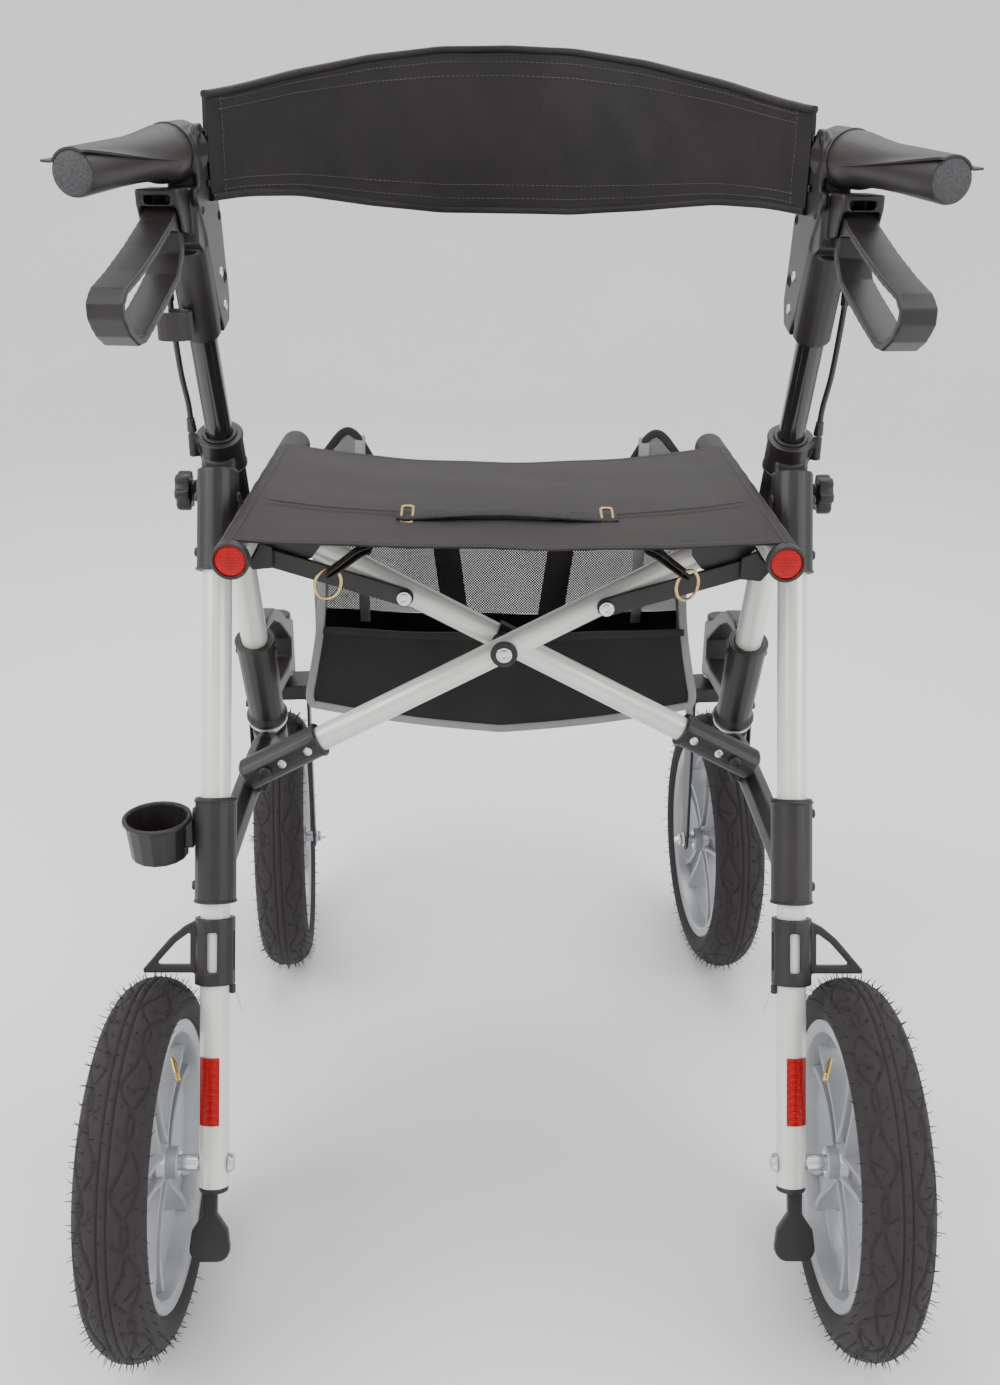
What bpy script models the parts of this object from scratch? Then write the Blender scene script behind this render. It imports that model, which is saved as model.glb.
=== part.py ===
"""Folding rollator walker with seat, basket, loop brakes and four 12.5 inch wheels, in metres.

+X is the user's right, +Y is the way the walker rolls and +Z is up. The origin lies on the floor, midway
between the axles and between the two side frames. Each side frame is an inverted V: a rear post that leans
forward and a front leg that leans back, held by a socket near their crossing and tied by a low strut. The two
side frames fold together on an X brace that carries the seat rails on its upper ends.
"""

import math

import bmesh
import bpy
from mathutils import Matrix, Quaternion, Vector

# How finely round pieces are cut
BAR_SIDES = 16
PIN_SIDES = 10
PIN_LIMIT = 0.0066
WHEEL_STEPS = 24

# Wheels and overall size
WHEELBASE = 0.577
WHEEL_RADIUS = 0.157
TYRE_WIDTH = 0.057
BEAD_RADIUS = 0.1175
RIM_WIDTH = 0.047
HUB_RADIUS = 0.018
HUB_LENGTH = 0.050
SPOKES = 5
CASTER_TRAIL = 0.035
CASTER_TURN = math.radians(4.7)
AXLE_RADIUS = 0.004
STEM_RADIUS = 0.008
STEM_TOP = 0.424
HEAD_BOTTOM = 0.3655
HEAD_TOP = 0.440
HEAD_RADIUS = 0.0175

# Side frames
FRAME_X = 0.249
POST_LEAN = math.radians(23.3)
LEG_LEAN = math.radians(24.8)
APEX_HEIGHT = 0.741
POST_RADIUS = 0.0127
TUBE_WALL = 0.0013
POST_BOTTOM = 0.139
POST_TOP = 0.702
LEG_BOTTOM = 0.373
SOCKET_TOP = 0.733
SOCKET_BOTTOM = 0.625
SLEEVE_BOTTOM = 0.363
SLEEVE_TOP = 0.446
STRUT_RADIUS = 0.0135
STRUT_HEIGHT = 0.383
KNOB_HEIGHT = 0.675
KNOB_RADIUS = 0.018
KNOB_VALLEY = 0.0135

# Handles
HANDLE_RADIUS = 0.0115
HANDLE_BOTTOM = 0.560
HANDLE_TOP = 0.885
BRACKET_BOTTOM = 0.824
PLATE_THICKNESS = 0.0045
GRIP_RADIUS = 0.0158
GRIP_BELL = 0.0205
GRIP_LENGTH = 0.137
SPIGOT_RADIUS = 0.0075
GRIP_SPLAY = math.radians(15.0)
GRIP_DROP = math.radians(4.0)
LEVER_WIDTH = 0.0255
LEVER_SPLAY = math.radians(5.0)
LEVER_PIN_RADIUS = 0.003

# Fold
PIVOT_HEIGHT = 0.4175
RAIL_HEIGHT = 0.6813
RAIL_RADIUS = 0.0125
RAIL_REAR = 0.0585
RAIL_LENGTH = 0.3855
YOKE_DROP = 0.034
ARM_RADIUS = 0.012
BRACE_Y = 0.260
ARM_SOCKET_LENGTH = 0.083
LINK_FROM_CENTRE = 0.103
LINK_SLOPE = math.radians(17.0)
LINK_THICKNESS = 0.005
LUG_THICKNESS = 0.004
CHEEK_THICKNESS = 0.0035
BOLT_RADIUS = 0.004
PIN_HEAD_RADIUS = 0.0065

# Soft parts and carriers
SEAT_LENGTH = 0.325
SEAT_THICKNESS = 0.004
SEAT_SINK = 0.0035
BACKREST_THICKNESS = 0.004
BACKREST_BOTTOM = 0.908
BACKREST_TOP = 1.046
BACKREST_REACH = 0.185
BASKET_WALL = 0.003
BASKET_DEPTH = 0.130
BASKET_BOTTOM = 0.396
BASKET_RISE = 0.028
BASKET_TOP = 0.645
BASKET_Y = 0.440
CUP_RADIUS = 0.0285
CUP_DEPTH = 0.036

# Clearances
GAP = 0.0003
RUNNING_GAP = 0.0004
SIDE_GAP = 0.001
BRAKE_GAP = 0.0065

# Sizes tied to the ones above
REAR_WHEEL_X = FRAME_X + 0.0545
STEERING_X = FRAME_X + 0.017
KNOB_FACE_X = FRAME_X + 0.0285
PLATE_X = FRAME_X - 0.0138
LEVER_X = FRAME_X + 0.008
GRIP_X = FRAME_X + 0.0065
PIVOT_X = FRAME_X - 0.0255
RAIL_X = FRAME_X - 0.0403
BASKET_WIDTH = 2 * (FRAME_X - 0.047)
LEG_RADIUS = HANDLE_RADIUS + TUBE_WALL + 0.0005
BRACKET_RADIUS = HANDLE_RADIUS + 0.004
SOCKET_RADIUS = LEG_RADIUS + 0.0049
SLEEVE_RADIUS = POST_RADIUS + 0.0053
SHOE_RADIUS = POST_RADIUS + 0.0048
ARM_SPACING = 2 * ARM_RADIUS + 0.002
ARM_SOCKET_RADIUS = ARM_RADIUS + 0.0038
ARM_SLOPE = math.atan2(RAIL_HEIGHT - YOKE_DROP - PIVOT_HEIGHT, PIVOT_X + RAIL_X)
LINK_LENGTH = (FRAME_X - 0.034 - LINK_FROM_CENTRE * math.cos(ARM_SLOPE)) / math.cos(LINK_SLOPE)
REAR_AXLE_Y = -WHEELBASE / 2
FRONT_AXLE_Y = WHEELBASE / 2
ARM_A_Y = REAR_AXLE_Y + BRACE_Y - ARM_SPACING / 2
ARM_B_Y = REAR_AXLE_Y + BRACE_Y + ARM_SPACING / 2
LOWER_ARM = PIVOT_X / math.cos(ARM_SLOPE)
UPPER_ARM = RAIL_X / math.cos(ARM_SLOPE)
BRACE_CENTRE_HEIGHT = PIVOT_HEIGHT + LOWER_ARM * math.sin(ARM_SLOPE)
YOKE_PIVOT_HEIGHT = BRACE_CENTRE_HEIGHT + UPPER_ARM * math.sin(ARM_SLOPE)
CHEEK_OFFSET = ARM_RADIUS + SIDE_GAP + CHEEK_THICKNESS / 2
LINK_OFFSET = CHEEK_OFFSET + CHEEK_THICKNESS / 2 + SIDE_GAP + LINK_THICKNESS / 2
LUG_OFFSET = LINK_OFFSET + LINK_THICKNESS / 2 + 0.0015 + LUG_THICKNESS / 2
UP = Vector((0, 0, 1))
POST_DIRECTION = Vector((0, math.sin(POST_LEAN), math.cos(POST_LEAN)))
LEG_DIRECTION = Vector((0, -math.sin(LEG_LEAN), math.cos(LEG_LEAN)))
SIDES = (("l", -1), ("r", 1))
YZ_PLANE = Matrix(((0, 0, 1), (1, 0, 0), (0, 1, 0))).to_quaternion()
XZ_PLANE = Matrix(((1, 0, 0), (0, 0, -1), (0, 1, 0))).to_quaternion()
NO_TURN = Quaternion()


def from_axle(distance):
    """The Y position that lies a distance ahead of the rear axle."""
    return REAR_AXLE_Y + distance


def post_at(side, height):
    """The rear post's centre at a height. The post's line passes through the rear axle."""
    y = REAR_AXLE_Y + (height - WHEEL_RADIUS) * math.tan(POST_LEAN)
    return Vector((side * FRAME_X, y, height))


def leg_at(side, height):
    """The front leg's centre at a height. Its line crosses the post's at the apex."""
    y = post_at(side, APEX_HEIGHT).y - (height - APEX_HEIGHT) * math.tan(LEG_LEAN)
    return Vector((side * FRAME_X, y, height))


# Scene, materials and modelling helpers


def clear_scene():
    for old in list(bpy.data.objects):
        bpy.data.objects.remove(old, do_unlink=True)


def collection(name, is_cutters=False):
    made = bpy.data.collections.new(name)
    made.hide_render = is_cutters
    bpy.context.scene.collection.children.link(made)
    return made


def material(name, colour, roughness, metallic=0.0):
    made = bpy.data.materials.new(name)
    made.use_nodes = True
    shader = made.node_tree.nodes["Principled BSDF"]
    shader.inputs["Base Color"].default_value = (*colour, 1.0)
    shader.inputs["Roughness"].default_value = roughness
    shader.inputs["Metallic"].default_value = metallic
    return made


def add_object(name, data, finish, location=(0, 0, 0), rotation=NO_TURN):
    data.materials.append(finish)
    made = bpy.data.objects.new(name, data)
    PARTS.objects.link(made)
    made.rotation_mode = "QUATERNION"
    made.location = location
    made.rotation_quaternion = rotation
    return made


def aim(direction):
    """The turn that points local +Z along a direction."""
    return UP.rotation_difference(Vector(direction).normalized())


def sides_for(radius):
    """Pins and bolts need fewer sides than tubes."""
    return PIN_SIDES if radius < PIN_LIMIT else BAR_SIDES


def cylinder(name, start, end, radius, finish):
    """A solid round bar between two points."""
    sides = sides_for(radius)
    run = Vector(end) - Vector(start)
    mesh = bpy.data.meshes.new(name)
    shape = bmesh.new()
    bmesh.ops.create_cone(
        shape, cap_ends=True, segments=sides, radius1=radius, radius2=radius, depth=run.length
    )
    shape.to_mesh(mesh)
    shape.free()
    mesh.shade_smooth()
    mesh.set_sharp_from_angle(angle=math.radians(40))
    return add_object(name, mesh, finish, (Vector(start) + Vector(end)) / 2, aim(run))


def box(name, size, centre, finish, rotation=NO_TURN):
    mesh = bpy.data.meshes.new(name)
    shape = bmesh.new()
    bmesh.ops.create_cube(shape, size=1.0)
    bmesh.ops.scale(shape, vec=size, verts=shape.verts)
    shape.to_mesh(mesh)
    shape.free()
    return add_object(name, mesh, finish, centre, rotation)


def turned(name, profile, origin, axis, finish, steps=None, closed=False):
    """A lathe-turned solid. The profile's (radius, height) points run down its outer side, then up inside."""
    steps = steps or sides_for(max(radius for radius, height in profile))
    mesh = bpy.data.meshes.new(name)
    shape = bmesh.new()
    points = [shape.verts.new((radius, 0, height)) for radius, height in profile]
    for first, second in zip(points, points[1:]):
        shape.edges.new((first, second))
    if closed:
        shape.edges.new((points[-1], points[0]))
    shape.to_mesh(mesh)
    shape.free()
    made = add_object(name, mesh, finish, origin, aim(axis))
    spin = made.modifiers.new("Screw", "SCREW")
    spin.axis = "Z"
    spin.angle = math.tau
    spin.steps = steps
    spin.render_steps = steps
    spin.use_merge_vertices = True
    spin.merge_threshold = 0.00005
    spin.use_smooth_shade = True
    return made


def pipe(name, start, end, outer, inner, finish):
    """A straight tube, open at both ends."""
    run = Vector(end) - Vector(start)
    profile = [(outer, run.length), (outer, 0), (inner, 0), (inner, run.length)]
    return turned(name, profile, start, run, finish, closed=True)


def as_mesh(curve_object):
    """Turns a curve object into a mesh object with welded caps, so that it can be cut or joined."""
    bpy.context.view_layer.update()
    graph = bpy.context.evaluated_depsgraph_get()
    mesh = bpy.data.meshes.new_from_object(curve_object.evaluated_get(graph))
    shape = bmesh.new()
    shape.from_mesh(mesh)
    bmesh.ops.remove_doubles(shape, verts=shape.verts, dist=0.00001)
    bmesh.ops.recalc_face_normals(shape, faces=shape.faces)
    shape.to_mesh(mesh)
    shape.free()
    mesh.shade_smooth()
    mesh.set_sharp_from_angle(angle=math.radians(40))
    name = curve_object.name
    finish = curve_object.data.materials[0]
    place = curve_object.matrix_world.copy()
    bpy.data.objects.remove(curve_object, do_unlink=True)
    mesh.materials.clear()
    made = add_object(name, mesh, finish)
    made.location = place.to_translation()
    made.rotation_quaternion = place.to_quaternion()
    return made


def plate(name, outline, thickness, finish, origin=(0, 0, 0), rotation=NO_TURN, holes=()):
    """A flat outline in the local XY plane with holes in it, thickened both ways along local Z."""
    curve = bpy.data.curves.new(name, "CURVE")
    curve.dimensions = "2D"
    curve.fill_mode = "BOTH"
    curve.extrude = thickness / 2
    for loop in (outline, *holes):
        spline = curve.splines.new("POLY")
        spline.points.add(len(loop) - 1)
        for point, (x, y) in zip(spline.points, loop):
            point.co = (x, y, 0, 1)
        spline.use_cyclic_u = True
    return as_mesh(add_object(name, curve, finish, origin, rotation))


def smooth_route(points, per_span=5):
    """Points on a Catmull-Rom curve through the given points."""
    ends = [2 * points[0] - points[1], *points, 2 * points[-1] - points[-2]]
    route = []
    for index in range(1, len(ends) - 2):
        a, b, c, d = ends[index - 1 : index + 3]
        for step in range(per_span):
            t = step / per_span
            square = (2 * a - 5 * b + 4 * c - d) * t**2
            cube = (3 * b - a - 3 * c + d) * t**3
            route.append(0.5 * (2 * b + (c - a) * t + square + cube))
    return [*route, points[-1]]


def bent_rod(name, points, radius, finish, per_span=5, resolution=2):
    """A round bar or cable along a smooth route."""
    curve = bpy.data.curves.new(name, "CURVE")
    curve.dimensions = "3D"
    curve.bevel_depth = radius
    curve.bevel_resolution = resolution
    curve.use_fill_caps = True
    route = smooth_route([Vector(point) for point in points], per_span)
    spline = curve.splines.new("POLY")
    spline.points.add(len(route) - 1)
    for point, place in zip(spline.points, route):
        point.co = (*place, 1)
    return as_mesh(add_object(name, curve, finish))


def shape_with(target, operation, tools):
    for tool in tools:
        PARTS.objects.unlink(tool)
        CUTTERS.objects.link(tool)
        tool.hide_render = True
        tool.display_type = "WIRE"
        tool.parent = target
        tool.matrix_parent_inverse = target.matrix_basis.inverted()
        change = target.modifiers.new(tool.name, "BOOLEAN")
        change.operation = operation
        change.solver = "EXACT"
        change.object = tool
    return target


def join(target, *tools):
    return shape_with(target, "UNION", tools)


def cut(target, *tools):
    return shape_with(target, "DIFFERENCE", tools)


def keep_inside(target, tool):
    return shape_with(target, "INTERSECT", (tool,))


def mount_on(joint_name, location, members, turn=0.0):
    """Parents the members to an empty on their joint's axis."""
    empty = bpy.data.objects.new(joint_name, None)
    empty.location = location
    empty.rotation_euler = (0, 0, turn)
    PARTS.objects.link(empty)
    for member in members:
        member.parent = empty
        member.matrix_parent_inverse = Matrix.Translation(location).inverted()
    return empty


def circle(centre, radius, count=12):
    return [
        (
            centre[0] + radius * math.cos(math.tau * index / count),
            centre[1] + radius * math.sin(math.tau * index / count),
        )
        for index in range(count)
    ]


def arc(centre, radius, start, end, count):
    """Points on an arc, with its angles in degrees."""
    angles = [math.radians(start + (end - start) * index / (count - 1)) for index in range(count)]
    return [(centre[0] + radius * math.cos(a), centre[1] + radius * math.sin(a)) for a in angles]


def through_x(name, y, z, radius, finish, half_length=0.05, x=0.0):
    """A round tool along X, for a cross hole or a pin."""
    return cylinder(name, (x - half_length, y, z), (x + half_length, y, z), radius, finish)


def through_y(name, x, z, radius, start, end, finish):
    return cylinder(name, (x, start, z), (x, end, z), radius, finish)


# Wheels


def tyre_section():
    """The tyre's closed outline: a round crown that narrows to the beads, as (radius, offset) points."""
    half = TYRE_WIDTH / 2
    shoulder = BEAD_RADIUS + 0.0125
    crown = WHEEL_RADIUS - shoulder
    angles = [math.pi * step / 6 for step in range(7)]
    section = [(shoulder + crown * math.sin(a), half * math.cos(a)) for a in angles]
    bead = half - 0.0095
    return [*section, (BEAD_RADIUS, -bead), (BEAD_RADIUS, bead)]


def tyre(name, centre):
    return turned(name, tyre_section(), centre, (1, 0, 0), TYRE_RUBBER, WHEEL_STEPS, closed=True)


def rim(name, centre):
    """A five-spoke rim: a channel for the tyre's beads, spokes and a bored hub."""
    half = RIM_WIDTH / 2
    seat = BEAD_RADIUS - 0.001
    lip = BEAD_RADIUS + 0.002
    channel = [
        (lip, half),
        (seat, half - 0.003),
        (seat, 0.003 - half),
        (lip, -half),
        (seat - 0.007, -half),
        (seat - 0.010, 0),
        (seat - 0.007, half),
    ]
    made = turned(name, channel, centre, (1, 0, 0), RIM_GREY, WHEEL_STEPS, closed=True)
    across = Vector((HUB_LENGTH / 2, 0, 0))
    hub = pipe(
        f"{name}_hub", centre - across, centre + across, HUB_RADIUS, AXLE_RADIUS + RUNNING_GAP, RIM_GREY
    )
    reach = seat - 0.006 - HUB_RADIUS + 0.006
    spokes = []
    for index in range(SPOKES):
        turn = Quaternion((1, 0, 0), math.tau * index / SPOKES)
        middle = centre + turn @ Vector((0, 0, HUB_RADIUS - 0.006 + reach / 2))
        spokes.append(box(f"{name}_spoke_{index}", (0.014, 0.022, reach), middle, RIM_GREY, turn))
    return join(made, hub, *spokes)


def axle(name, inner, outer, hub_side, hub_far, finish):
    """A bolt along X: a pan head, a shank, a spacer up to the hub and a nut past it. It returns one solid."""
    towards = 1 if outer > inner else -1
    origin = Vector((inner, REAR_AXLE_Y, WHEEL_RADIUS))
    length = abs(outer - inner)
    spacer_start = abs(hub_side[0] - inner)
    spacer_end = abs(hub_side[1] - inner)
    nut_start = abs(hub_far - inner)
    profile = [
        (0, length),
        (0.0045, length),
        (0.0065, length - 0.0015),
        (0.0065, nut_start),
        (AXLE_RADIUS, nut_start),
        (AXLE_RADIUS, spacer_end),
        (0.0070, spacer_end),
        (0.0070, spacer_start),
        (AXLE_RADIUS, spacer_start),
        (AXLE_RADIUS, 0.004),
        (0.0075, 0.004),
        (0.0065, 0.001),
        (0.0045, 0),
        (0, 0),
    ]
    return turned(name, profile, origin, (towards, 0, 0), finish)


def rear_wheel(tag, side):
    centre = Vector((side * REAR_WHEEL_X, REAR_AXLE_Y, WHEEL_RADIUS))
    members = [tyre(f"rear_tyre_{tag}", centre), rim(f"rear_rim_{tag}", centre)]
    mount_on(f"rear_wheel_{tag}_spin", centre, members)
    hub_near = REAR_WHEEL_X - HUB_LENGTH / 2
    hub_far = REAR_WHEEL_X + HUB_LENGTH / 2
    axle(
        f"rear_axle_{tag}",
        side * (FRAME_X - POST_RADIUS - 0.0043),
        side * (hub_far + 0.0034),
        (side * (FRAME_X + POST_RADIUS + GAP), side * (hub_near - RUNNING_GAP)),
        side * (hub_far + RUNNING_GAP),
        ZINC,
    )


def caster(tag, side):
    """A swivelling front wheel: stem, crown, two blades, axle, rim and tyre, turned a little to the left."""
    steering = Vector((side * STEERING_X, FRONT_AXLE_Y + CASTER_TRAIL, 0))
    centre = Vector((steering.x, FRONT_AXLE_Y, WHEEL_RADIUS))
    half_inside = TYRE_WIDTH / 2 + 0.0045
    blade = 0.0035
    crown_bottom = WHEEL_RADIUS * 2 + 0.030
    crown_top = crown_bottom + 0.018
    middle_y = steering.y - CASTER_TRAIL * 0.42
    fork = box(
        f"caster_fork_{tag}",
        (2 * (half_inside + blade), 0.050, crown_top - crown_bottom),
        (steering.x, middle_y, (crown_bottom + crown_top) / 2),
        BLACK_PLASTIC,
    )
    tools = [
        cylinder(
            f"caster_stem_{tag}",
            (steering.x, steering.y, crown_bottom + 0.004),
            (steering.x, steering.y, STEM_TOP),
            STEM_RADIUS,
            BLACK_PLASTIC,
        )
    ]
    low = WHEEL_RADIUS
    outline = [
        *arc((centre.y, low), 0.013, 180, 360, 7),
        (middle_y + 0.022, crown_bottom + 0.010),
        (middle_y - 0.022, crown_bottom + 0.010),
    ]
    for word, towards in (("inner", -1), ("outer", 1)):
        offset = towards * (half_inside + blade / 2)
        tools.append(
            plate(
                f"caster_blade_{word}_{tag}",
                outline,
                blade,
                BLACK_PLASTIC,
                (steering.x + offset, 0, 0),
                YZ_PLANE,
            )
        )
    join(fork, *tools)
    cut(
        fork,
        through_x(
            f"caster_axle_hole_{tag}", centre.y, low, AXLE_RADIUS + RUNNING_GAP, ZINC, 0.06, steering.x
        ),
    )
    outside = half_inside + blade
    reach = HUB_LENGTH / 2
    profile = [
        (0, outside + 0.0075),
        (0.0050, outside + 0.0075),
        (0.0065, outside + 0.0055),
        (0.0065, outside + GAP),
        (AXLE_RADIUS, outside + GAP),
        (AXLE_RADIUS, half_inside - GAP),
        (0.0060, half_inside - GAP),
        (0.0060, reach + RUNNING_GAP),
        (AXLE_RADIUS, reach + RUNNING_GAP),
        (AXLE_RADIUS, -reach - RUNNING_GAP),
        (0.0060, -reach - RUNNING_GAP),
        (0.0060, GAP - half_inside),
        (AXLE_RADIUS, GAP - half_inside),
        (AXLE_RADIUS, -outside - GAP),
        (0.0065, -outside - GAP),
        (0.0065, -outside - 0.0055),
        (0.0050, -outside - 0.0075),
        (0, -outside - 0.0075),
    ]
    bolt = turned(f"front_axle_{tag}", profile, centre, (1, 0, 0), ZINC)
    front_tyre = tyre(f"front_tyre_{tag}", centre)
    front_rim = rim(f"front_rim_{tag}", centre)
    steering_place = (steering.x, steering.y, STEM_TOP)
    mount_on(f"caster_{tag}_swivel", steering_place, [fork, bolt, front_tyre, front_rim], CASTER_TURN)


# Side frames


def rear_post(tag, side):
    bottom, top = post_at(side, POST_BOTTOM), post_at(side, POST_TOP)
    made = pipe(f"rear_post_{tag}", bottom, top, POST_RADIUS, POST_RADIUS - TUBE_WALL, PEARL)
    hole = through_x(
        f"post_axle_hole_{tag}", REAR_AXLE_Y, WHEEL_RADIUS, AXLE_RADIUS + GAP, ZINC, 0.03, side * FRAME_X
    )
    return cut(made, hole)


def front_leg(tag, side):
    bottom, top = leg_at(side, LEG_BOTTOM), leg_at(side, SOCKET_TOP)
    made = pipe(f"front_leg_{tag}", bottom, top, LEG_RADIUS, LEG_RADIUS - TUBE_WALL, PEARL)
    place = leg_at(side, KNOB_HEIGHT)
    screw_hole = cylinder(
        f"leg_knob_hole_{tag}",
        place,
        place + Vector((side * 0.03, 0, 0)),
        BOLT_RADIUS + RUNNING_GAP,
        ZINC,
    )
    return cut(made, screw_hole)


def post_strip(tag, side):
    """A red reflective strip on the post's rear face, turned a little outwards."""
    start = post_at(side, 0.189)
    end = post_at(side, 0.242)
    made = pipe(f"post_strip_{tag}", start, end, POST_RADIUS + 0.0012, POST_RADIUS + GAP, RED)
    facing = Quaternion(POST_DIRECTION, side * math.radians(12)) @ Vector((0, -1, 0))
    centre = (start + end) / 2 + facing * POST_RADIUS
    turn = Quaternion(POST_DIRECTION, side * math.radians(12)) @ aim(POST_DIRECTION)
    return keep_inside(made, box(f"strip_limit_{tag}", (0.017, 0.016, 0.08), centre, RED, turn))


def tip_pedal(tag, side):
    """A plug in the post's foot with a paddle to press down on when the walker is tipped over a kerb."""
    foot = post_at(side, POST_BOTTOM)
    plug_top = foot + POST_DIRECTION * 0.0105
    plug_radius = POST_RADIUS - TUBE_WALL - GAP
    made = cylinder(f"tip_pedal_{tag}", foot - POST_DIRECTION * 0.004, plug_top, plug_radius, BLACK_PLASTIC)
    collar = cylinder(
        f"pedal_collar_{tag}",
        foot - POST_DIRECTION * 0.0045,
        foot - POST_DIRECTION * GAP,
        POST_RADIUS,
        BLACK_PLASTIC,
    )
    outline = [
        (-0.0065, 0.010),
        (-0.0060, -0.012),
        (-0.0155, -0.026),
        *arc((-0.0065, -0.042), 0.011, 170, 262, 5),
        *arc((0.0065, -0.042), 0.011, 278, 370, 5),
        (0.0155, -0.026),
        (0.0060, -0.012),
        (0.0065, 0.010),
    ]
    turn = Quaternion((1, 0, 0), math.pi / 2 - POST_LEAN)
    paddle = plate(
        f"pedal_paddle_{tag}",
        outline,
        0.008,
        BLACK_PLASTIC,
        foot - POST_DIRECTION * 0.012 + Vector((side * 0.003, 0, 0)),
        turn,
    )
    return join(made, collar, paddle)


def link_anchor(side):
    """Where a brace link's outer end meets its side frame."""
    arm_bolt = Vector((LINK_FROM_CENTRE * math.cos(ARM_SLOPE), 0, LINK_FROM_CENTRE * math.sin(ARM_SLOPE)))
    reach = Vector((LINK_LENGTH * math.cos(LINK_SLOPE), 0, LINK_LENGTH * math.sin(LINK_SLOPE)))
    place = arm_bolt + reach
    return Vector((side * place.x, 0, BRACE_CENTRE_HEIGHT + place.z))


def arm_y_at_lower_pivot(side):
    return ARM_A_Y if side < 0 else ARM_B_Y


def arm_y_at_upper_pivot(side):
    return ARM_B_Y if side < 0 else ARM_A_Y


def frame_socket(tag, side):
    """The casting that grips post and leg below their crossing and takes the height knob and the cable."""
    leg_low = leg_at(side, 0.655)
    leg_top = leg_at(side, SOCKET_TOP)
    made = cylinder(f"frame_socket_{tag}", leg_low, leg_top, SOCKET_RADIUS, BLACK_PLASTIC)
    post_top = post_at(side, POST_TOP) + POST_DIRECTION * 0.004
    post_sleeve = cylinder(
        f"socket_post_sleeve_{tag}",
        post_at(side, SOCKET_BOTTOM),
        post_top,
        POST_RADIUS + 0.0051,
        BLACK_PLASTIC,
    )
    web_outline = [
        tuple(place.yz)
        for place in (
            post_at(side, 0.640),
            post_at(side, POST_TOP),
            leg_at(side, 0.722),
            leg_at(side, 0.662),
        )
    ]
    web = plate(
        f"socket_web_{tag}", web_outline, 0.026, BLACK_PLASTIC, (side * FRAME_X, 0, 0), YZ_PLANE
    )
    collar = cylinder(
        f"socket_collar_{tag}",
        leg_top - LEG_DIRECTION * 0.030,
        leg_top,
        SOCKET_RADIUS + 0.0016,
        BLACK_PLASTIC,
    )
    knob_place = leg_at(side, KNOB_HEIGHT)
    boss_end = knob_place + Vector((side * (KNOB_FACE_X - FRAME_X - RUNNING_GAP), 0, 0))
    boss = cylinder(f"socket_boss_{tag}", knob_place, boss_end, 0.0125, BLACK_PLASTIC)
    anchor = link_anchor(side)
    lug_outline = [
        (side * FRAME_X, 0.676),
        (side * (FRAME_X - 0.0228), 0.676),
        (side * (FRAME_X - 0.0228), 0.642),
        (side * (FRAME_X - 0.0415), anchor.z + 0.0114),
        (side * (FRAME_X - 0.0415), anchor.z - 0.009),
        (side * (FRAME_X - 0.0228), anchor.z - 0.011),
        (side * FRAME_X, 0.640),
    ]
    lug_y = arm_y_at_upper_pivot(side) - LUG_OFFSET
    lug = plate(f"socket_lug_{tag}", lug_outline, LUG_THICKNESS, BLACK_PLASTIC, (0, lug_y, 0), XZ_PLANE)
    gland_base = CABLE_ROUTE[-1]
    gland_low = Vector((side * gland_base[0], from_axle(gland_base[1]), gland_base[2] - 0.022))
    gland = cylinder(
        f"socket_gland_{tag}", gland_low, gland_low + Vector((0, 0, 0.0205)), 0.0042, BLACK_PLASTIC
    )
    join(made, post_sleeve, web, collar, boss, lug, gland)
    leg_bore = cylinder(
        f"socket_leg_bore_{tag}",
        leg_low - LEG_DIRECTION * 0.03,
        leg_top + LEG_DIRECTION * 0.01,
        LEG_RADIUS + GAP,
        BLACK_PLASTIC,
    )
    post_bore = cylinder(
        f"socket_post_bore_{tag}",
        post_at(side, SOCKET_BOTTOM) - POST_DIRECTION * 0.02,
        post_at(side, POST_TOP) + POST_DIRECTION * GAP,
        POST_RADIUS + GAP,
        BLACK_PLASTIC,
    )
    knob_bore = cylinder(
        f"socket_knob_bore_{tag}",
        knob_place,
        boss_end + Vector((side * 0.01, 0, 0)),
        BOLT_RADIUS + RUNNING_GAP,
        BLACK_PLASTIC,
    )
    return cut(made, leg_bore, post_bore, knob_bore)


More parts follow.
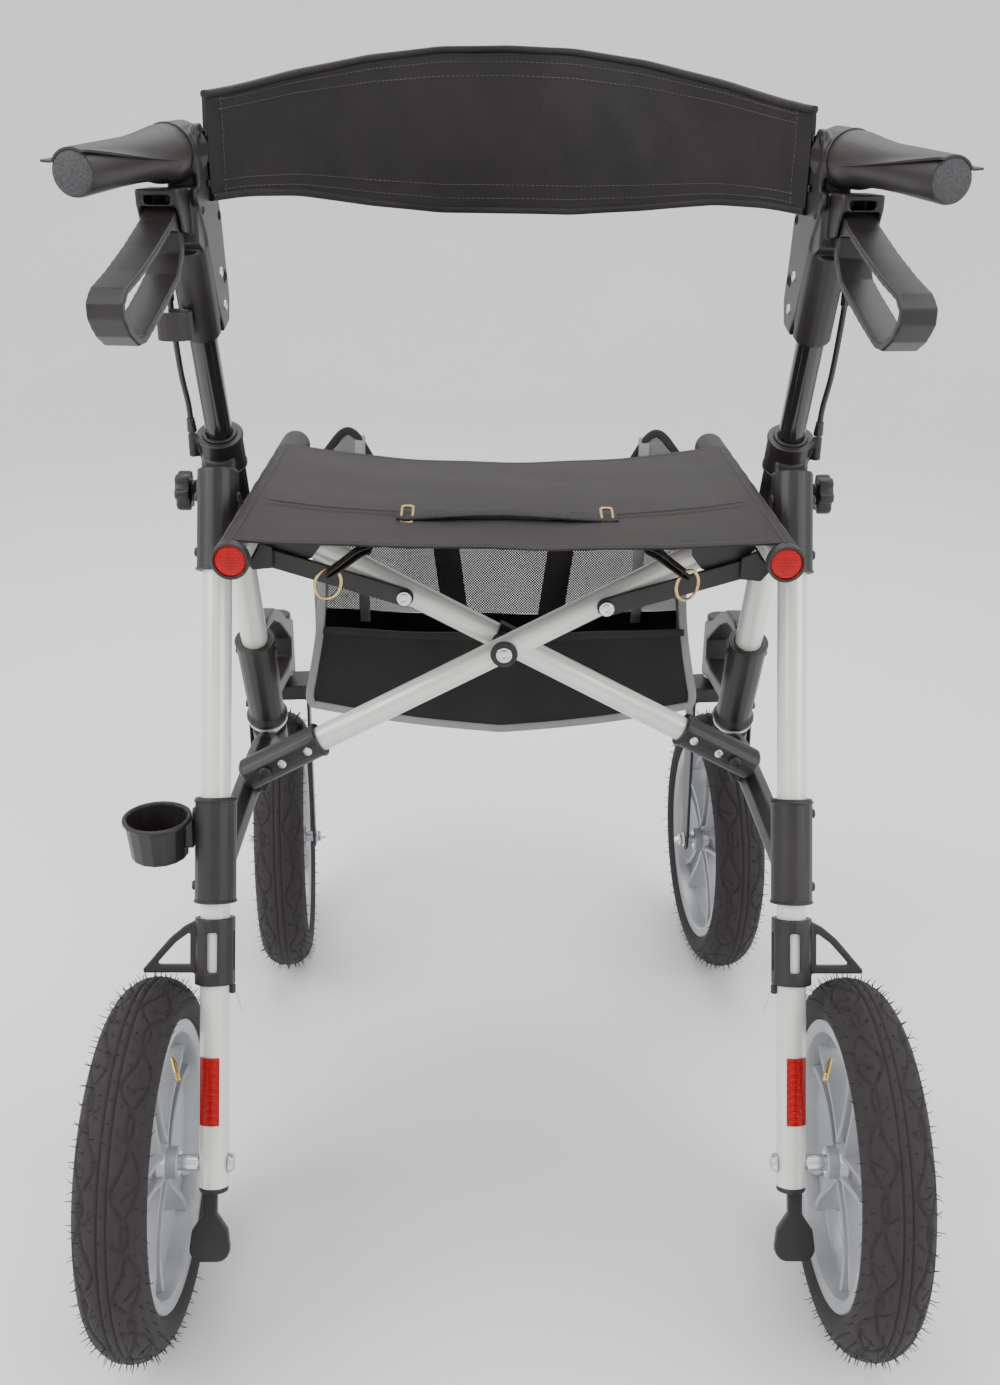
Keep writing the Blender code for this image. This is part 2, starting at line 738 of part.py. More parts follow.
def side_strut(tag, side):
    """The low strut: a sleeve on the post, a bar forward, an elbow under the leg and the arm's pivot."""
    low, high = post_at(side, SLEEVE_BOTTOM), post_at(side, SLEEVE_TOP)
    made = cylinder(f"side_strut_{tag}", low, high, SLEEVE_RADIUS, BLACK_PLASTIC)
    x = side * FRAME_X
    foot = leg_at(side, LEG_BOTTOM)
    under_foot = foot - LEG_DIRECTION * 0.014
    bar = bent_rod(
        f"strut_bar_{tag}",
        [
            post_at(side, STRUT_HEIGHT),
            Vector((x, from_axle(0.250), STRUT_HEIGHT - 0.001)),
            Vector((x, from_axle(0.370), STRUT_HEIGHT - 0.006)),
            under_foot,
            foot + LEG_DIRECTION * 0.004,
        ],
        STRUT_RADIUS,
        BLACK_PLASTIC,
        per_span=3,
    )
    elbow_top = foot + LEG_DIRECTION * 0.010
    elbow = cylinder(f"strut_elbow_{tag}", under_foot, elbow_top, LEG_RADIUS + 0.0052, BLACK_PLASTIC)
    arm_y = arm_y_at_lower_pivot(side)
    lug_y = arm_y + ARM_SOCKET_RADIUS + 0.0015 + 0.003
    lug = plate(
        f"strut_lug_{tag}",
        [
            (side * (FRAME_X + 0.004), STRUT_HEIGHT - 0.004),
            (side * (FRAME_X + 0.004), STRUT_HEIGHT + 0.008),
            (side * (PIVOT_X + 0.004), PIVOT_HEIGHT + 0.009),
            (side * (PIVOT_X - 0.006), PIVOT_HEIGHT + 0.008),
            (side * (PIVOT_X - 0.009), PIVOT_HEIGHT - 0.003),
            (side * (PIVOT_X + 0.006), STRUT_HEIGHT - 0.004),
        ],
        0.006,
        BLACK_PLASTIC,
        (0, lug_y, 0),
        XZ_PLANE,
    )
    pin_head_y = arm_y - ARM_SOCKET_RADIUS - 0.0015
    pin = turned(
        f"strut_pin_{tag}",
        [
            (0, lug_y - pin_head_y + 0.002),
            (BOLT_RADIUS, lug_y - pin_head_y + 0.002),
            (BOLT_RADIUS, 0),
            (PIN_HEAD_RADIUS, 0),
            (PIN_HEAD_RADIUS, -0.002),
            (0.0045, -0.0035),
            (0, -0.0035),
        ],
        (side * PIVOT_X, pin_head_y, PIVOT_HEIGHT),
        (0, 1, 0),
        BLACK_PLASTIC,
    )
    join(made, bar, elbow, lug, pin)
    post_bore = cylinder(
        f"strut_post_bore_{tag}",
        low - POST_DIRECTION * 0.02,
        high + POST_DIRECTION * 0.02,
        POST_RADIUS + GAP,
        BLACK_PLASTIC,
    )
    leg_bore = cylinder(
        f"strut_leg_bore_{tag}",
        foot - LEG_DIRECTION * GAP,
        foot + LEG_DIRECTION * 0.03,
        LEG_RADIUS + GAP,
        BLACK_PLASTIC,
    )
    return cut(made, post_bore, leg_bore)


def caster_bracket(tag, side):
    """The casting on the leg's lower end: a sleeve, a flared ring and a hooped arm to the steering head."""
    low = leg_at(side, 0.397)
    high = leg_at(side, 0.502)
    length = (high - low).length
    profile = [
        (LEG_RADIUS + 0.0053, length),
        (LEG_RADIUS + 0.0063, length - 0.002),
        (LEG_RADIUS + 0.0053, 0.010),
        (LEG_RADIUS + 0.0089, 0.004),
        (LEG_RADIUS + 0.0089, 0),
        (LEG_RADIUS + GAP, 0),
        (LEG_RADIUS + GAP, length),
    ]
    made = turned(f"caster_bracket_{tag}", profile, low, LEG_DIRECTION, BLACK_PLASTIC, closed=True)
    front = FRONT_AXLE_Y + CASTER_TRAIL
    hoop = [
        (from_axle(0.386), 0.494),
        (from_axle(0.425), 0.502),
        (from_axle(0.470), 0.497),
        (from_axle(0.515), 0.478),
        (from_axle(0.560), 0.452),
        (front - 0.008, HEAD_TOP - 0.004),
        (front - 0.008, HEAD_BOTTOM + 0.004),
        (from_axle(0.550), 0.382),
        (from_axle(0.500), 0.388),
        (from_axle(0.442), 0.396),
        (from_axle(0.428), 0.410),
    ]
    window = [
        (from_axle(0.407), 0.474),
        (from_axle(0.430), 0.489),
        (from_axle(0.466), 0.484),
        (from_axle(0.508), 0.466),
        (from_axle(0.552), 0.440),
        (from_axle(0.582), 0.421),
        (from_axle(0.578), 0.398),
        (from_axle(0.545), 0.396),
        (from_axle(0.500), 0.402),
        (from_axle(0.453), 0.410),
        (from_axle(0.436), 0.422),
    ]
    lean = side * (STEERING_X - FRAME_X)
    arm = plate(
        f"bracket_hoop_{tag}",
        hoop,
        0.026,
        BLACK_PLASTIC,
        (side * FRAME_X + lean * 0.5, 0, 0),
        YZ_PLANE,
        holes=[window],
    )
    steering = Vector((side * STEERING_X, front, 0))
    head = cylinder(
        f"bracket_head_{tag}",
        steering + UP * HEAD_BOTTOM,
        steering + UP * HEAD_TOP,
        HEAD_RADIUS,
        BLACK_PLASTIC,
    )
    join(made, arm, head)
    stem_bore = cylinder(
        f"bracket_stem_bore_{tag}",
        steering + UP * (HEAD_BOTTOM - 0.01),
        steering + UP * (STEM_TOP + 0.001),
        STEM_RADIUS + RUNNING_GAP,
        BLACK_PLASTIC,
    )
    leg_bore = cylinder(
        f"bracket_leg_bore_{tag}",
        low - LEG_DIRECTION * 0.01,
        high + LEG_DIRECTION * 0.01,
        LEG_RADIUS + GAP,
        BLACK_PLASTIC,
    )
    return cut(made, stem_bore, leg_bore)


def height_knob(tag, side):
    """A six-lobed hand knob whose screw passes the socket and the leg's wall to clamp the handle tube."""
    place = leg_at(side, KNOB_HEIGHT)
    lobes = []
    for index in range(6):
        middle = index * 60
        lobes += arc((0, 0), KNOB_RADIUS, middle - 14, middle + 14, 4)
        valley = math.radians(middle + 30)
        lobes.append((KNOB_VALLEY * math.cos(valley), KNOB_VALLEY * math.sin(valley)))
    made = plate(
        f"height_knob_{tag}",
        lobes,
        0.013,
        BLACK_PLASTIC,
        (side * (KNOB_FACE_X + 0.0115), place.y, place.z),
        YZ_PLANE,
    )
    neck = cylinder(
        f"knob_neck_{tag}",
        (side * KNOB_FACE_X, place.y, place.z),
        (side * (KNOB_FACE_X + 0.008), place.y, place.z),
        0.0095,
        BLACK_PLASTIC,
    )
    screw = cylinder(
        f"knob_screw_{tag}",
        (side * (FRAME_X + HANDLE_RADIUS + 0.0009), place.y, place.z),
        (side * (KNOB_FACE_X + 0.006), place.y, place.z),
        BOLT_RADIUS,
        ZINC,
    )
    join(made, neck, screw)
    mount_on(f"height_knob_{tag}_turn", (side * KNOB_FACE_X, place.y, place.z), [made])


def brake_shoe(tag, side):
    """A slotted sleeve that slides on the post, with a wing whose lower bar presses the tyre's crown."""
    axle_point = post_at(side, WHEEL_RADIUS)
    start = (0.2985 - WHEEL_RADIUS) / math.cos(POST_LEAN)
    end = (0.351 - WHEEL_RADIUS) / math.cos(POST_LEAN)
    made = pipe(
        f"brake_shoe_{tag}",
        axle_point + POST_DIRECTION * start,
        axle_point + POST_DIRECTION * end,
        SHOE_RADIUS,
        POST_RADIUS + RUNNING_GAP,
        BLACK_PLASTIC,
    )
    bar = WHEEL_RADIUS + BRAKE_GAP
    tip = REAR_WHEEL_X + 0.006
    near = FRAME_X + POST_RADIUS + 0.0023
    outline = [
        (near, bar),
        (tip, bar),
        (tip + 0.001, bar + 0.003),
        (tip - 0.010, bar + 0.016),
        (tip - 0.022, bar + 0.030),
        (tip - 0.034, bar + 0.040),
        (near, bar + 0.046),
    ]
    window = [
        (near + 0.006, bar + 0.007),
        (tip - 0.010, bar + 0.007),
        (tip - 0.017, bar + 0.015),
        (tip - 0.027, bar + 0.026),
        (near + 0.006, bar + 0.035),
    ]
    # Local X runs outboard and local Y up the post, so local Z is square to both.
    outboard = Vector((side, 0, 0))
    turn = Matrix((outboard, POST_DIRECTION, outboard.cross(POST_DIRECTION))).transposed().to_quaternion()
    wing_origin = axle_point - outboard * FRAME_X
    wing = plate(f"shoe_wing_{tag}", outline, 0.008, BLACK_PLASTIC, wing_origin, turn, holes=[window])
    join(made, wing)
    slots = []
    middle = axle_point + POST_DIRECTION * (start + end) / 2
    for word, towards in (("rear", Vector((0, -1, 0))), ("inner", Vector((-side, 0, 0)))):
        direction = (towards - POST_DIRECTION * towards.dot(POST_DIRECTION)).normalized()
        square = POST_DIRECTION.cross(direction)
        turn = Matrix((square, direction, POST_DIRECTION)).transposed().to_quaternion()
        slots.append(
            box(
                f"shoe_slot_{word}_{tag}",
                (0.0085, 0.012, 0.034),
                middle + direction * (POST_RADIUS + 0.0028),
                BLACK_PLASTIC,
                turn,
            )
        )
    cut(made, *slots)
    mount_on(f"brake_{tag}_slide", middle, [made])


# Handles

LEVER_PIVOT_Y = from_axle(0.145)
LEVER_PIVOT_HEIGHT = 0.919
CABLE_ROUTE = [
    (FRAME_X + 0.0210, 0.1960, 0.8630),
    (FRAME_X + 0.0226, 0.2110, 0.8300),
    (FRAME_X + 0.0238, 0.2300, 0.7900),
    (FRAME_X + 0.0230, 0.2460, 0.7600),
    (FRAME_X + 0.0230, 0.2530, 0.7350),
]


def handle_tube(tag, side):
    low, high = leg_at(side, HANDLE_BOTTOM), leg_at(side, HANDLE_TOP)
    return pipe(f"handle_tube_{tag}", low, high, HANDLE_RADIUS, HANDLE_RADIUS - TUBE_WALL, GLOSS_BLACK)


def grip_frame(side):
    """The grip's far end and its direction back to the hand."""
    direction = Vector(
        (
            side * math.sin(GRIP_SPLAY) * math.cos(GRIP_DROP),
            -math.cos(GRIP_SPLAY) * math.cos(GRIP_DROP),
            -math.sin(GRIP_DROP),
        )
    )
    return Vector((side * GRIP_X, from_axle(0.166), 0.9625)), direction


def handle_bracket(tag, side):
    """The casting on top of the handle tube: tube sleeve, inner side plate, grip spigot and lever housing."""
    low = leg_at(side, BRACKET_BOTTOM)
    high = leg_at(side, HANDLE_TOP) + LEG_DIRECTION * 0.012
    made = cylinder(f"handle_bracket_{tag}", low, high, BRACKET_RADIUS, BLACK_PLASTIC)
    side_outline = [
        (from_axle(y), z)
        for y, z in (
            (0.150, 0.9372),
            (0.1665, 0.9396),
            (0.1665, 0.976),
            (0.170, 0.982),
            (0.188, 0.983),
            (0.210, 0.970),
            (0.226, 0.948),
            (0.246, 0.912),
            (0.252, 0.880),
            (0.260, 0.848),
            (0.252, 0.829),
            (0.226, 0.824),
            (0.206, 0.850),
            (0.176, 0.905),
            (0.150, 0.931),
        )
    ]
    holes = [
        circle((from_axle(y), z), radius, 6)
        for y, z, radius in ((0.171, 0.974, 0.0025), (0.235, 0.914, 0.0025), (0.243, 0.866, 0.004))
    ]
    side_plate = plate(
        f"bracket_side_{tag}",
        side_outline,
        PLATE_THICKNESS,
        BLACK_PLASTIC,
        (side * PLATE_X, 0, 0),
        YZ_PLANE,
        holes=holes,
    )
    grip_far, direction = grip_frame(side)
    head = cylinder(
        f"bracket_grip_seat_{tag}",
        grip_far - direction * 0.026,
        grip_far - direction * GAP,
        GRIP_BELL + 0.0010,
        BLACK_PLASTIC,
    )
    spigot_end = grip_far + direction * 0.060
    spigot = cylinder(
        f"bracket_spigot_{tag}", grip_far - direction * 0.01, spigot_end, SPIGOT_RADIUS, BLACK_PLASTIC
    )
    neck_outline = [
        (from_axle(0.156), 0.8985),
        (from_axle(0.1955), 0.885),
        (from_axle(0.1955), 0.955),
        (from_axle(0.170), 0.960),
        (from_axle(0.170), 0.9385),
        (from_axle(0.156), 0.9385),
    ]
    neck = plate(
        f"bracket_neck_{tag}", neck_outline, 0.024, BLACK_PLASTIC, (side * (FRAME_X - 0.002), 0, 0), YZ_PLANE
    )
    pivot, turn = lever_frame(side)
    inside = LEVER_WIDTH / 2 + 0.0005
    wall = 0.003
    cheek_outline = [
        (-0.016, 0.0185),
        (-0.016, 0.008),
        (-0.007, -0.011),
        (0.008, -0.013),
        (0.014, -0.009),
        (0.014, 0.0185),
    ]
    cheeks = [
        plate(
            f"bracket_cheek_{word}_{tag}",
            cheek_outline,
            wall,
            BLACK_PLASTIC,
            pivot + turn @ Vector((0, 0, towards * (inside + wall / 2))),
            turn,
        )
        for word, towards in (("near", -1), ("far", 1))
    ]
    housing_width = 2 * (inside + wall) - 0.0006
    walls = [
        box(
            f"bracket_{word}_{tag}",
            (length, height, width),
            pivot + turn @ Vector((along, up, 0)),
            BLACK_PLASTIC,
            turn,
        )
        for word, along, up, length, height, width in (
            ("roof", -0.001, 0.0178, 0.032, 0.0042, housing_width),
            ("lip", -0.0153, 0.0135, 0.003, 0.0120, housing_width - 0.0004),
            ("back", 0.0130, 0.0060, 0.003, 0.0270, housing_width - 0.0008),
        )
    ]
    across = turn @ Vector((0, 0, inside + wall / 2))
    pin = cylinder(f"bracket_pin_{tag}", pivot - across, pivot + across, LEVER_PIN_RADIUS, BLACK_PLASTIC)
    stop_x, stop_y, stop_z = CABLE_ROUTE[0]
    cable_stop = cylinder(
        f"bracket_cable_stop_{tag}",
        (side * stop_x, from_axle(stop_y), stop_z + 0.0010),
        (side * (stop_x - 0.004), from_axle(stop_y - 0.006), stop_z + 0.018),
        0.0045,
        BLACK_PLASTIC,
    )
    join(made, side_plate, neck, head, spigot, *cheeks, *walls, pin, cable_stop)
    window = box(
        f"bracket_window_{tag}",
        (0.012, 0.0060, 0.020),
        pivot + turn @ Vector((-0.0155, 0.0125, 0)),
        BLACK_PLASTIC,
        turn,
    )
    bore = cylinder(
        f"bracket_tube_bore_{tag}",
        low - LEG_DIRECTION * 0.01,
        leg_at(side, HANDLE_TOP) + LEG_DIRECTION * GAP,
        HANDLE_RADIUS + GAP,
        BLACK_PLASTIC,
    )
    return cut(made, window, bore)


def grip(tag, side):
    """A round hand grip with a palm shelf on its outer side and a blind bore for the spigot."""
    far, direction = grip_frame(side)
    profile = [
        (0, GRIP_LENGTH),
        (GRIP_RADIUS - 0.002, GRIP_LENGTH),
        (GRIP_RADIUS, GRIP_LENGTH - 0.002),
        (GRIP_RADIUS - 0.0005, 0.060),
        (GRIP_RADIUS, 0.036),
        (GRIP_BELL, 0.020),
        (GRIP_BELL, 0),
        (SPIGOT_RADIUS + GAP, 0),
        (SPIGOT_RADIUS + GAP, 0.061),
        (0, 0.061),
    ]
    made = turned(f"grip_{tag}", profile, far, direction, GRIP_PLASTIC)
    outboard = direction.cross(UP).normalized() * -side
    outboard = outboard if outboard.x * side > 0 else -outboard
    above = outboard.cross(direction)
    above = above if above.z > 0 else -above
    turn = Matrix((outboard, direction, outboard.cross(direction))).transposed().to_quaternion()
    outline = [
        (0.004, 0.030),
        (0.015, 0.034),
        (0.022, 0.060),
        (0.026, 0.095),
        (0.027, GRIP_LENGTH - 0.005),
        (0.024, GRIP_LENGTH - 0.001),
        (0.004, GRIP_LENGTH - 0.001),
    ]
    shelf = plate(f"grip_shelf_{tag}", outline, 0.0035, GRIP_PLASTIC, far + above * 0.0085, turn)
    return join(made, shelf)


def lever_frame(side):
    """The lever's pivot and its splayed plane: local X forward, local Y up and local Z along the pin."""
    forward = Vector((-side * math.sin(LEVER_SPLAY), math.cos(LEVER_SPLAY), 0))
    turn = Matrix((forward, UP, forward.cross(UP))).transposed().to_quaternion()
    return Vector((side * LEVER_X, LEVER_PIVOT_Y, LEVER_PIVOT_HEIGHT)), turn


def lever_outline():
    """The lever's loop in its own plane, measured from the pivot: its outside, then its finger hole."""
    outer = [
        (0.008, 0.000),
        (0.003, 0.0090),
        (-0.005, 0.0085),
        (-0.024, -0.002),
        (-0.063, -0.016),
        (-0.104, -0.0285),
        (-0.135, -0.036),
        (-0.147, -0.0445),
        (-0.147, -0.055),
        (-0.135, -0.068),
        (-0.119, -0.0765),
        (-0.103, -0.0765),
        (-0.069, -0.065),
        (-0.037, -0.053),
        (-0.015, -0.044),
        (0.001, -0.027),
    ]
    inner = [
        (-0.009, -0.010),
        (-0.027, -0.0085),
        (-0.063, -0.0215),
        (-0.104, -0.0338),
        (-0.1325, -0.0405),
        (-0.1405, -0.0465),
        (-0.1402, -0.0528),
        (-0.132, -0.0628),
        (-0.117, -0.0712),
        (-0.104, -0.0712),
        (-0.071, -0.0595),
        (-0.039, -0.0475),
        (-0.020, -0.0395),
        (-0.0065, -0.025),
    ]
    return outer, inner


def brake_lever(tag, side):
    """A broad loop that hangs under the grip. Squeezing it up turns it on the bracket's pin."""
    pivot, turn = lever_frame(side)
    outer, inner = lever_outline()
    made = plate(f"brake_lever_{tag}", outer, LEVER_WIDTH, BLACK_PLASTIC, pivot, turn, holes=[inner])
    across = turn @ Vector((0, 0, LEVER_WIDTH / 2 - GAP))
    boss = cylinder(f"lever_boss_{tag}", pivot - across, pivot + across, 0.0085, BLACK_PLASTIC)
    join(made, boss)
    bore = cylinder(
        f"lever_bore_{tag}",
        pivot - across * 2,
        pivot + across * 2,
        LEVER_PIN_RADIUS + RUNNING_GAP,
        BLACK_PLASTIC,
    )
    cut(made, bore)
    mount_on(f"brake_lever_{tag}_squeeze", pivot, [made])


def brake_cable(tag, side):
    points = [Vector((side * x, from_axle(y), z)) for x, y, z in CABLE_ROUTE]
    return bent_rod(f"brake_cable_{tag}", points, 0.0025, CABLE_BLACK, per_span=5, resolution=2)


# Seat, brace and soft parts


def seat_rail(tag, side):
    """A seat rail: a tube along Y, closed at its front end and open for the reflector cap at its rear."""
    start = Vector((side * RAIL_X, from_axle(RAIL_REAR), RAIL_HEIGHT))
    inner = RAIL_RADIUS - TUBE_WALL
    profile = [
        (0, RAIL_LENGTH),
        (RAIL_RADIUS - 0.003, RAIL_LENGTH),
        (RAIL_RADIUS, RAIL_LENGTH - 0.003),
        (RAIL_RADIUS, 0),
        (inner, 0),
        (inner, RAIL_LENGTH - 0.003),
        (0, RAIL_LENGTH - 0.003),
    ]
    return turned(f"seat_rail_{tag}", profile, start, (0, 1, 0), PEARL)


def rail_reflector(tag, side):
    """A capped plug in the rail's rear end that carries a round red reflector."""
    start = Vector((side * RAIL_X, from_axle(RAIL_REAR) - 0.0095, RAIL_HEIGHT))
    profile = [
        (0, 0.024),
        (RAIL_RADIUS - TUBE_WALL - GAP, 0.024),
        (RAIL_RADIUS - TUBE_WALL - GAP, 0.0095 - GAP),
        (0.0145, 0.0095 - GAP),
        (0.0145, 0.001),
        (0.0135, 0),
        (0, 0),
    ]
    return turned(f"rail_reflector_{tag}", profile, start, (0, 1, 0), RED)


def rail_yoke(tag, side):
    """The bracket under a seat rail: a saddle for the rail and two cheeks that hold the arm's upper pivot."""
    arm_y = arm_y_at_upper_pivot(side)
    outer_x = RAIL_X + RAIL_RADIUS
    cheek_outline = [
        (side * outer_x, RAIL_HEIGHT - 0.006),
        (side * outer_x, YOKE_PIVOT_HEIGHT - 0.010),
        (side * (RAIL_X + 0.002), YOKE_PIVOT_HEIGHT - 0.020),
        (side * (RAIL_X - 0.014), YOKE_PIVOT_HEIGHT - 0.030),
        (side * (RAIL_X - 0.034), YOKE_PIVOT_HEIGHT - 0.028),
        (side * (RAIL_X - 0.043), YOKE_PIVOT_HEIGHT - 0.016),
        (side * (RAIL_X - 0.044), YOKE_PIVOT_HEIGHT + 0.019),
        (side * (RAIL_X - 0.006), RAIL_HEIGHT - 0.008),
    ]
    cheeks = [
        plate(
            f"rail_yoke_{tag}" if towards < 0 else f"yoke_cheek_{tag}",
            cheek_outline,
            CHEEK_THICKNESS,
            BLACK_PLASTIC,
            (0, arm_y + towards * CHEEK_OFFSET, 0),
            XZ_PLANE,
        )
        for towards in (-1, 1)
    ]
    made = cheeks[0]
    depth = 2 * CHEEK_OFFSET + CHEEK_THICKNESS
    floor = YOKE_PIVOT_HEIGHT + ARM_RADIUS + 0.0012
    web_top = YOKE_PIVOT_HEIGHT + ARM_RADIUS + 0.006
    web = box(
        f"yoke_web_{tag}",
        (0.0560, depth - 0.001, web_top - floor),
        (side * (outer_x - 0.0285), arm_y, (web_top + floor) / 2),
        BLACK_PLASTIC,
    )
    saddle = cylinder(
        f"yoke_saddle_{tag}",
        (side * RAIL_X, arm_y - depth / 2 - 0.008, RAIL_HEIGHT),
        (side * RAIL_X, arm_y + depth / 2 + 0.008, RAIL_HEIGHT),
        RAIL_RADIUS + 0.0032,
        BLACK_PLASTIC,
    )
    pin = through_y(
        f"yoke_pin_{tag}",
        side * RAIL_X,
        YOKE_PIVOT_HEIGHT,
        BOLT_RADIUS,
        arm_y - CHEEK_OFFSET,
        arm_y + CHEEK_OFFSET,
        BLACK_PLASTIC,
    )
    join(made, cheeks[1], web, saddle, pin)
    upper_half = box(
        f"yoke_upper_cut_{tag}",
        (0.060, depth + 0.030, 0.040),
        (side * RAIL_X, arm_y, RAIL_HEIGHT + 0.0175),
        BLACK_PLASTIC,
    )
    rail_space = cylinder(
        f"yoke_rail_space_{tag}",
        (side * RAIL_X, arm_y - 0.05, RAIL_HEIGHT),
        (side * RAIL_X, arm_y + 0.05, RAIL_HEIGHT),
        RAIL_RADIUS + GAP,
        BLACK_PLASTIC,
    )
    outer_trim = box(
        f"yoke_outer_trim_{tag}",
        (0.010, depth + 0.030, 0.060),
        (side * (outer_x + 0.0002 + 0.005), arm_y, RAIL_HEIGHT),
        BLACK_PLASTIC,
    )
    return cut(made, upper_half, rail_space, outer_trim)


def brace_arm(tag, towards, y):
    """One arm of the X brace, its upper eye and cross holes. Towards is the side its upper end is on."""
    centre = Vector((0, y, BRACE_CENTRE_HEIGHT))
    direction = Vector((towards * math.cos(ARM_SLOPE), 0, math.sin(ARM_SLOPE)))
    low = centre - direction * (LOWER_ARM - 0.022)
    high = centre + direction * (UPPER_ARM - 0.010)
    made = pipe(f"brace_arm_{tag}", low, high, ARM_RADIUS, ARM_RADIUS - TUBE_WALL, PEARL)
    eye_centre = centre + direction * UPPER_ARM
    half = Vector((0, ARM_RADIUS - 0.0005, 0))
    eye = cylinder(f"arm_eye_{tag}", eye_centre - half, eye_centre + half, ARM_RADIUS, PEARL)
    plug = cylinder(
        f"arm_plug_{tag}", eye_centre - direction * 0.030, eye_centre, ARM_RADIUS - 0.0006, PEARL
    )
    join(made, eye, plug)
    holes = []
    for word, distance in (("centre", 0.0), ("link", LINK_FROM_CENTRE), ("eye", UPPER_ARM)):
        place = centre + direction * distance
        radius = BOLT_RADIUS + RUNNING_GAP
        holes.append(
            through_y(f"arm_{word}_hole_{tag}", place.x, place.z, radius, y - 0.03, y + 0.03, PEARL)
        )
    return cut(made, *holes)


def arm_socket(tag, towards, y):
    """The black sleeve on an arm's lower end, bored for the pivot pin."""
    centre = Vector((0, y, BRACE_CENTRE_HEIGHT))
    direction = Vector((towards * math.cos(ARM_SLOPE), 0, math.sin(ARM_SLOPE)))
    pivot = centre - direction * LOWER_ARM
    end = pivot - direction * 0.026
    profile = [
        (ARM_SOCKET_RADIUS, ARM_SOCKET_LENGTH),
        (ARM_SOCKET_RADIUS, 0.004),
        (ARM_SOCKET_RADIUS - 0.004, 0),
        (0, 0),
    ]
    made = turned(
        f"arm_socket_{tag}", [(0, ARM_SOCKET_LENGTH), *profile], end, direction, BLACK_PLASTIC
    )
    bore = cylinder(
        f"socket_arm_bore_{tag}",
        pivot + direction * (0.022 - GAP),
        end + direction * (ARM_SOCKET_LENGTH + 0.01),
        ARM_RADIUS + GAP,
        BLACK_PLASTIC,
    )
    hole = through_y(
        f"socket_pivot_hole_{tag}",
        pivot.x,
        pivot.z,
        BOLT_RADIUS + RUNNING_GAP,
        y - 0.03,
        y + 0.03,
        BLACK_PLASTIC,
    )
    return cut(made, bore, hole)


def brace_bolt():
    """The bolt at the crossing, with a saddle washer under its head and a nut behind."""
    near = ARM_A_Y - ARM_RADIUS - GAP
    length = ARM_SPACING + 2 * ARM_RADIUS + 2 * GAP
    profile = [
        (0, length + 0.006),
        (0.0060, length + 0.006),
        (0.0070, length + 0.004),
        (0.0070, length),
        (BOLT_RADIUS, length),
        (BOLT_RADIUS, 0),
        (0.0115, 0),
        (0.0115, -0.0025),
        (PIN_HEAD_RADIUS, -0.0035),
        (0.0050, -0.0060),
        (0, -0.0060),
    ]
    return turned("brace_bolt", profile, (0, near, BRACE_CENTRE_HEIGHT), (0, 1, 0), BLACK_PLASTIC)


def brace_link(tag, towards, y):
    """A flat strut from an arm to the socket's lug. Its inner end turns on a pin through the arm."""
    link_y = y - LINK_OFFSET
    bolt = Vector((towards * LINK_FROM_CENTRE * math.cos(ARM_SLOPE), 0, 0))
    bolt.z = BRACE_CENTRE_HEIGHT + LINK_FROM_CENTRE * math.sin(ARM_SLOPE)
    end = link_anchor(towards)
    run = Vector((end.x - bolt.x, end.z - bolt.z))
    along = run.normalized()
    across = Vector((-along.y, along.x))
    half = 0.0085
    outline = []
    for centre, forward in ((Vector((bolt.x, bolt.z)), -along), (Vector((end.x, end.z)), along)):
        start = across if forward == along else -across
        for step in range(9):
            angle = math.pi * step / 8
            outline.append(tuple(centre + half * (start * math.cos(angle) + forward * math.sin(angle))))
    made = plate(
        f"brace_link_{tag}", outline, LINK_THICKNESS, BLACK_PLASTIC, (0, link_y, 0), XZ_PLANE
    )
    head_y = link_y - LINK_THICKNESS / 2
    pin = cylinder(
        f"link_pin_{tag}",
        (bolt.x, head_y + 0.001, bolt.z),
        (bolt.x, y + ARM_RADIUS + 0.001, bolt.z),
        BOLT_RADIUS,
        BLACK_PLASTIC,
    )
    head = cylinder(
        f"link_head_{tag}",
        (bolt.x, head_y - 0.0028, bolt.z),
        (bolt.x, head_y + 0.001, bolt.z),
        PIN_HEAD_RADIUS,
        BLACK_PLASTIC,
    )
    spacer = cylinder(
        f"link_spacer_{tag}",
        (bolt.x, link_y, bolt.z),
        (bolt.x, y - ARM_RADIUS - RUNNING_GAP, bolt.z),
        0.0065,
        BLACK_PLASTIC,
    )
    join(made, pin, head, spacer)
    return made, Vector((bolt.x, y, bolt.z))


def seat():
    """The fabric seat between the rails, as a plain slab."""
    half = RAIL_X - RAIL_RADIUS - 0.0005
    middle = from_axle(RAIL_REAR + 0.001 + SEAT_LENGTH / 2)
    centre = (0, middle, RAIL_HEIGHT + RAIL_RADIUS - SEAT_THICKNESS / 2 - SEAT_SINK)
    return box("seat", (2 * half, SEAT_LENGTH, SEAT_THICKNESS), centre, FABRIC)


def backrest():
    """The backrest strap: a band that bows forward between the two handle brackets."""
    half_span = PLATE_X - PLATE_THICKNESS / 2 - 0.0012
    start_y = from_axle(0.198)
    steps = 14
    near = []
    far = []
    for index in range(steps + 1):
        share = -1 + 2 * index / steps
        bow = BACKREST_REACH * (1 - share * share)
        near.append((share * half_span, start_y + bow))
        far.append((share * half_span, start_y + bow + BACKREST_THICKNESS))
    height = BACKREST_TOP - BACKREST_BOTTOM
    return plate(
        "backrest", [*near, *reversed(far)], height, FABRIC, (0, 0, BACKREST_BOTTOM + height / 2)
    )


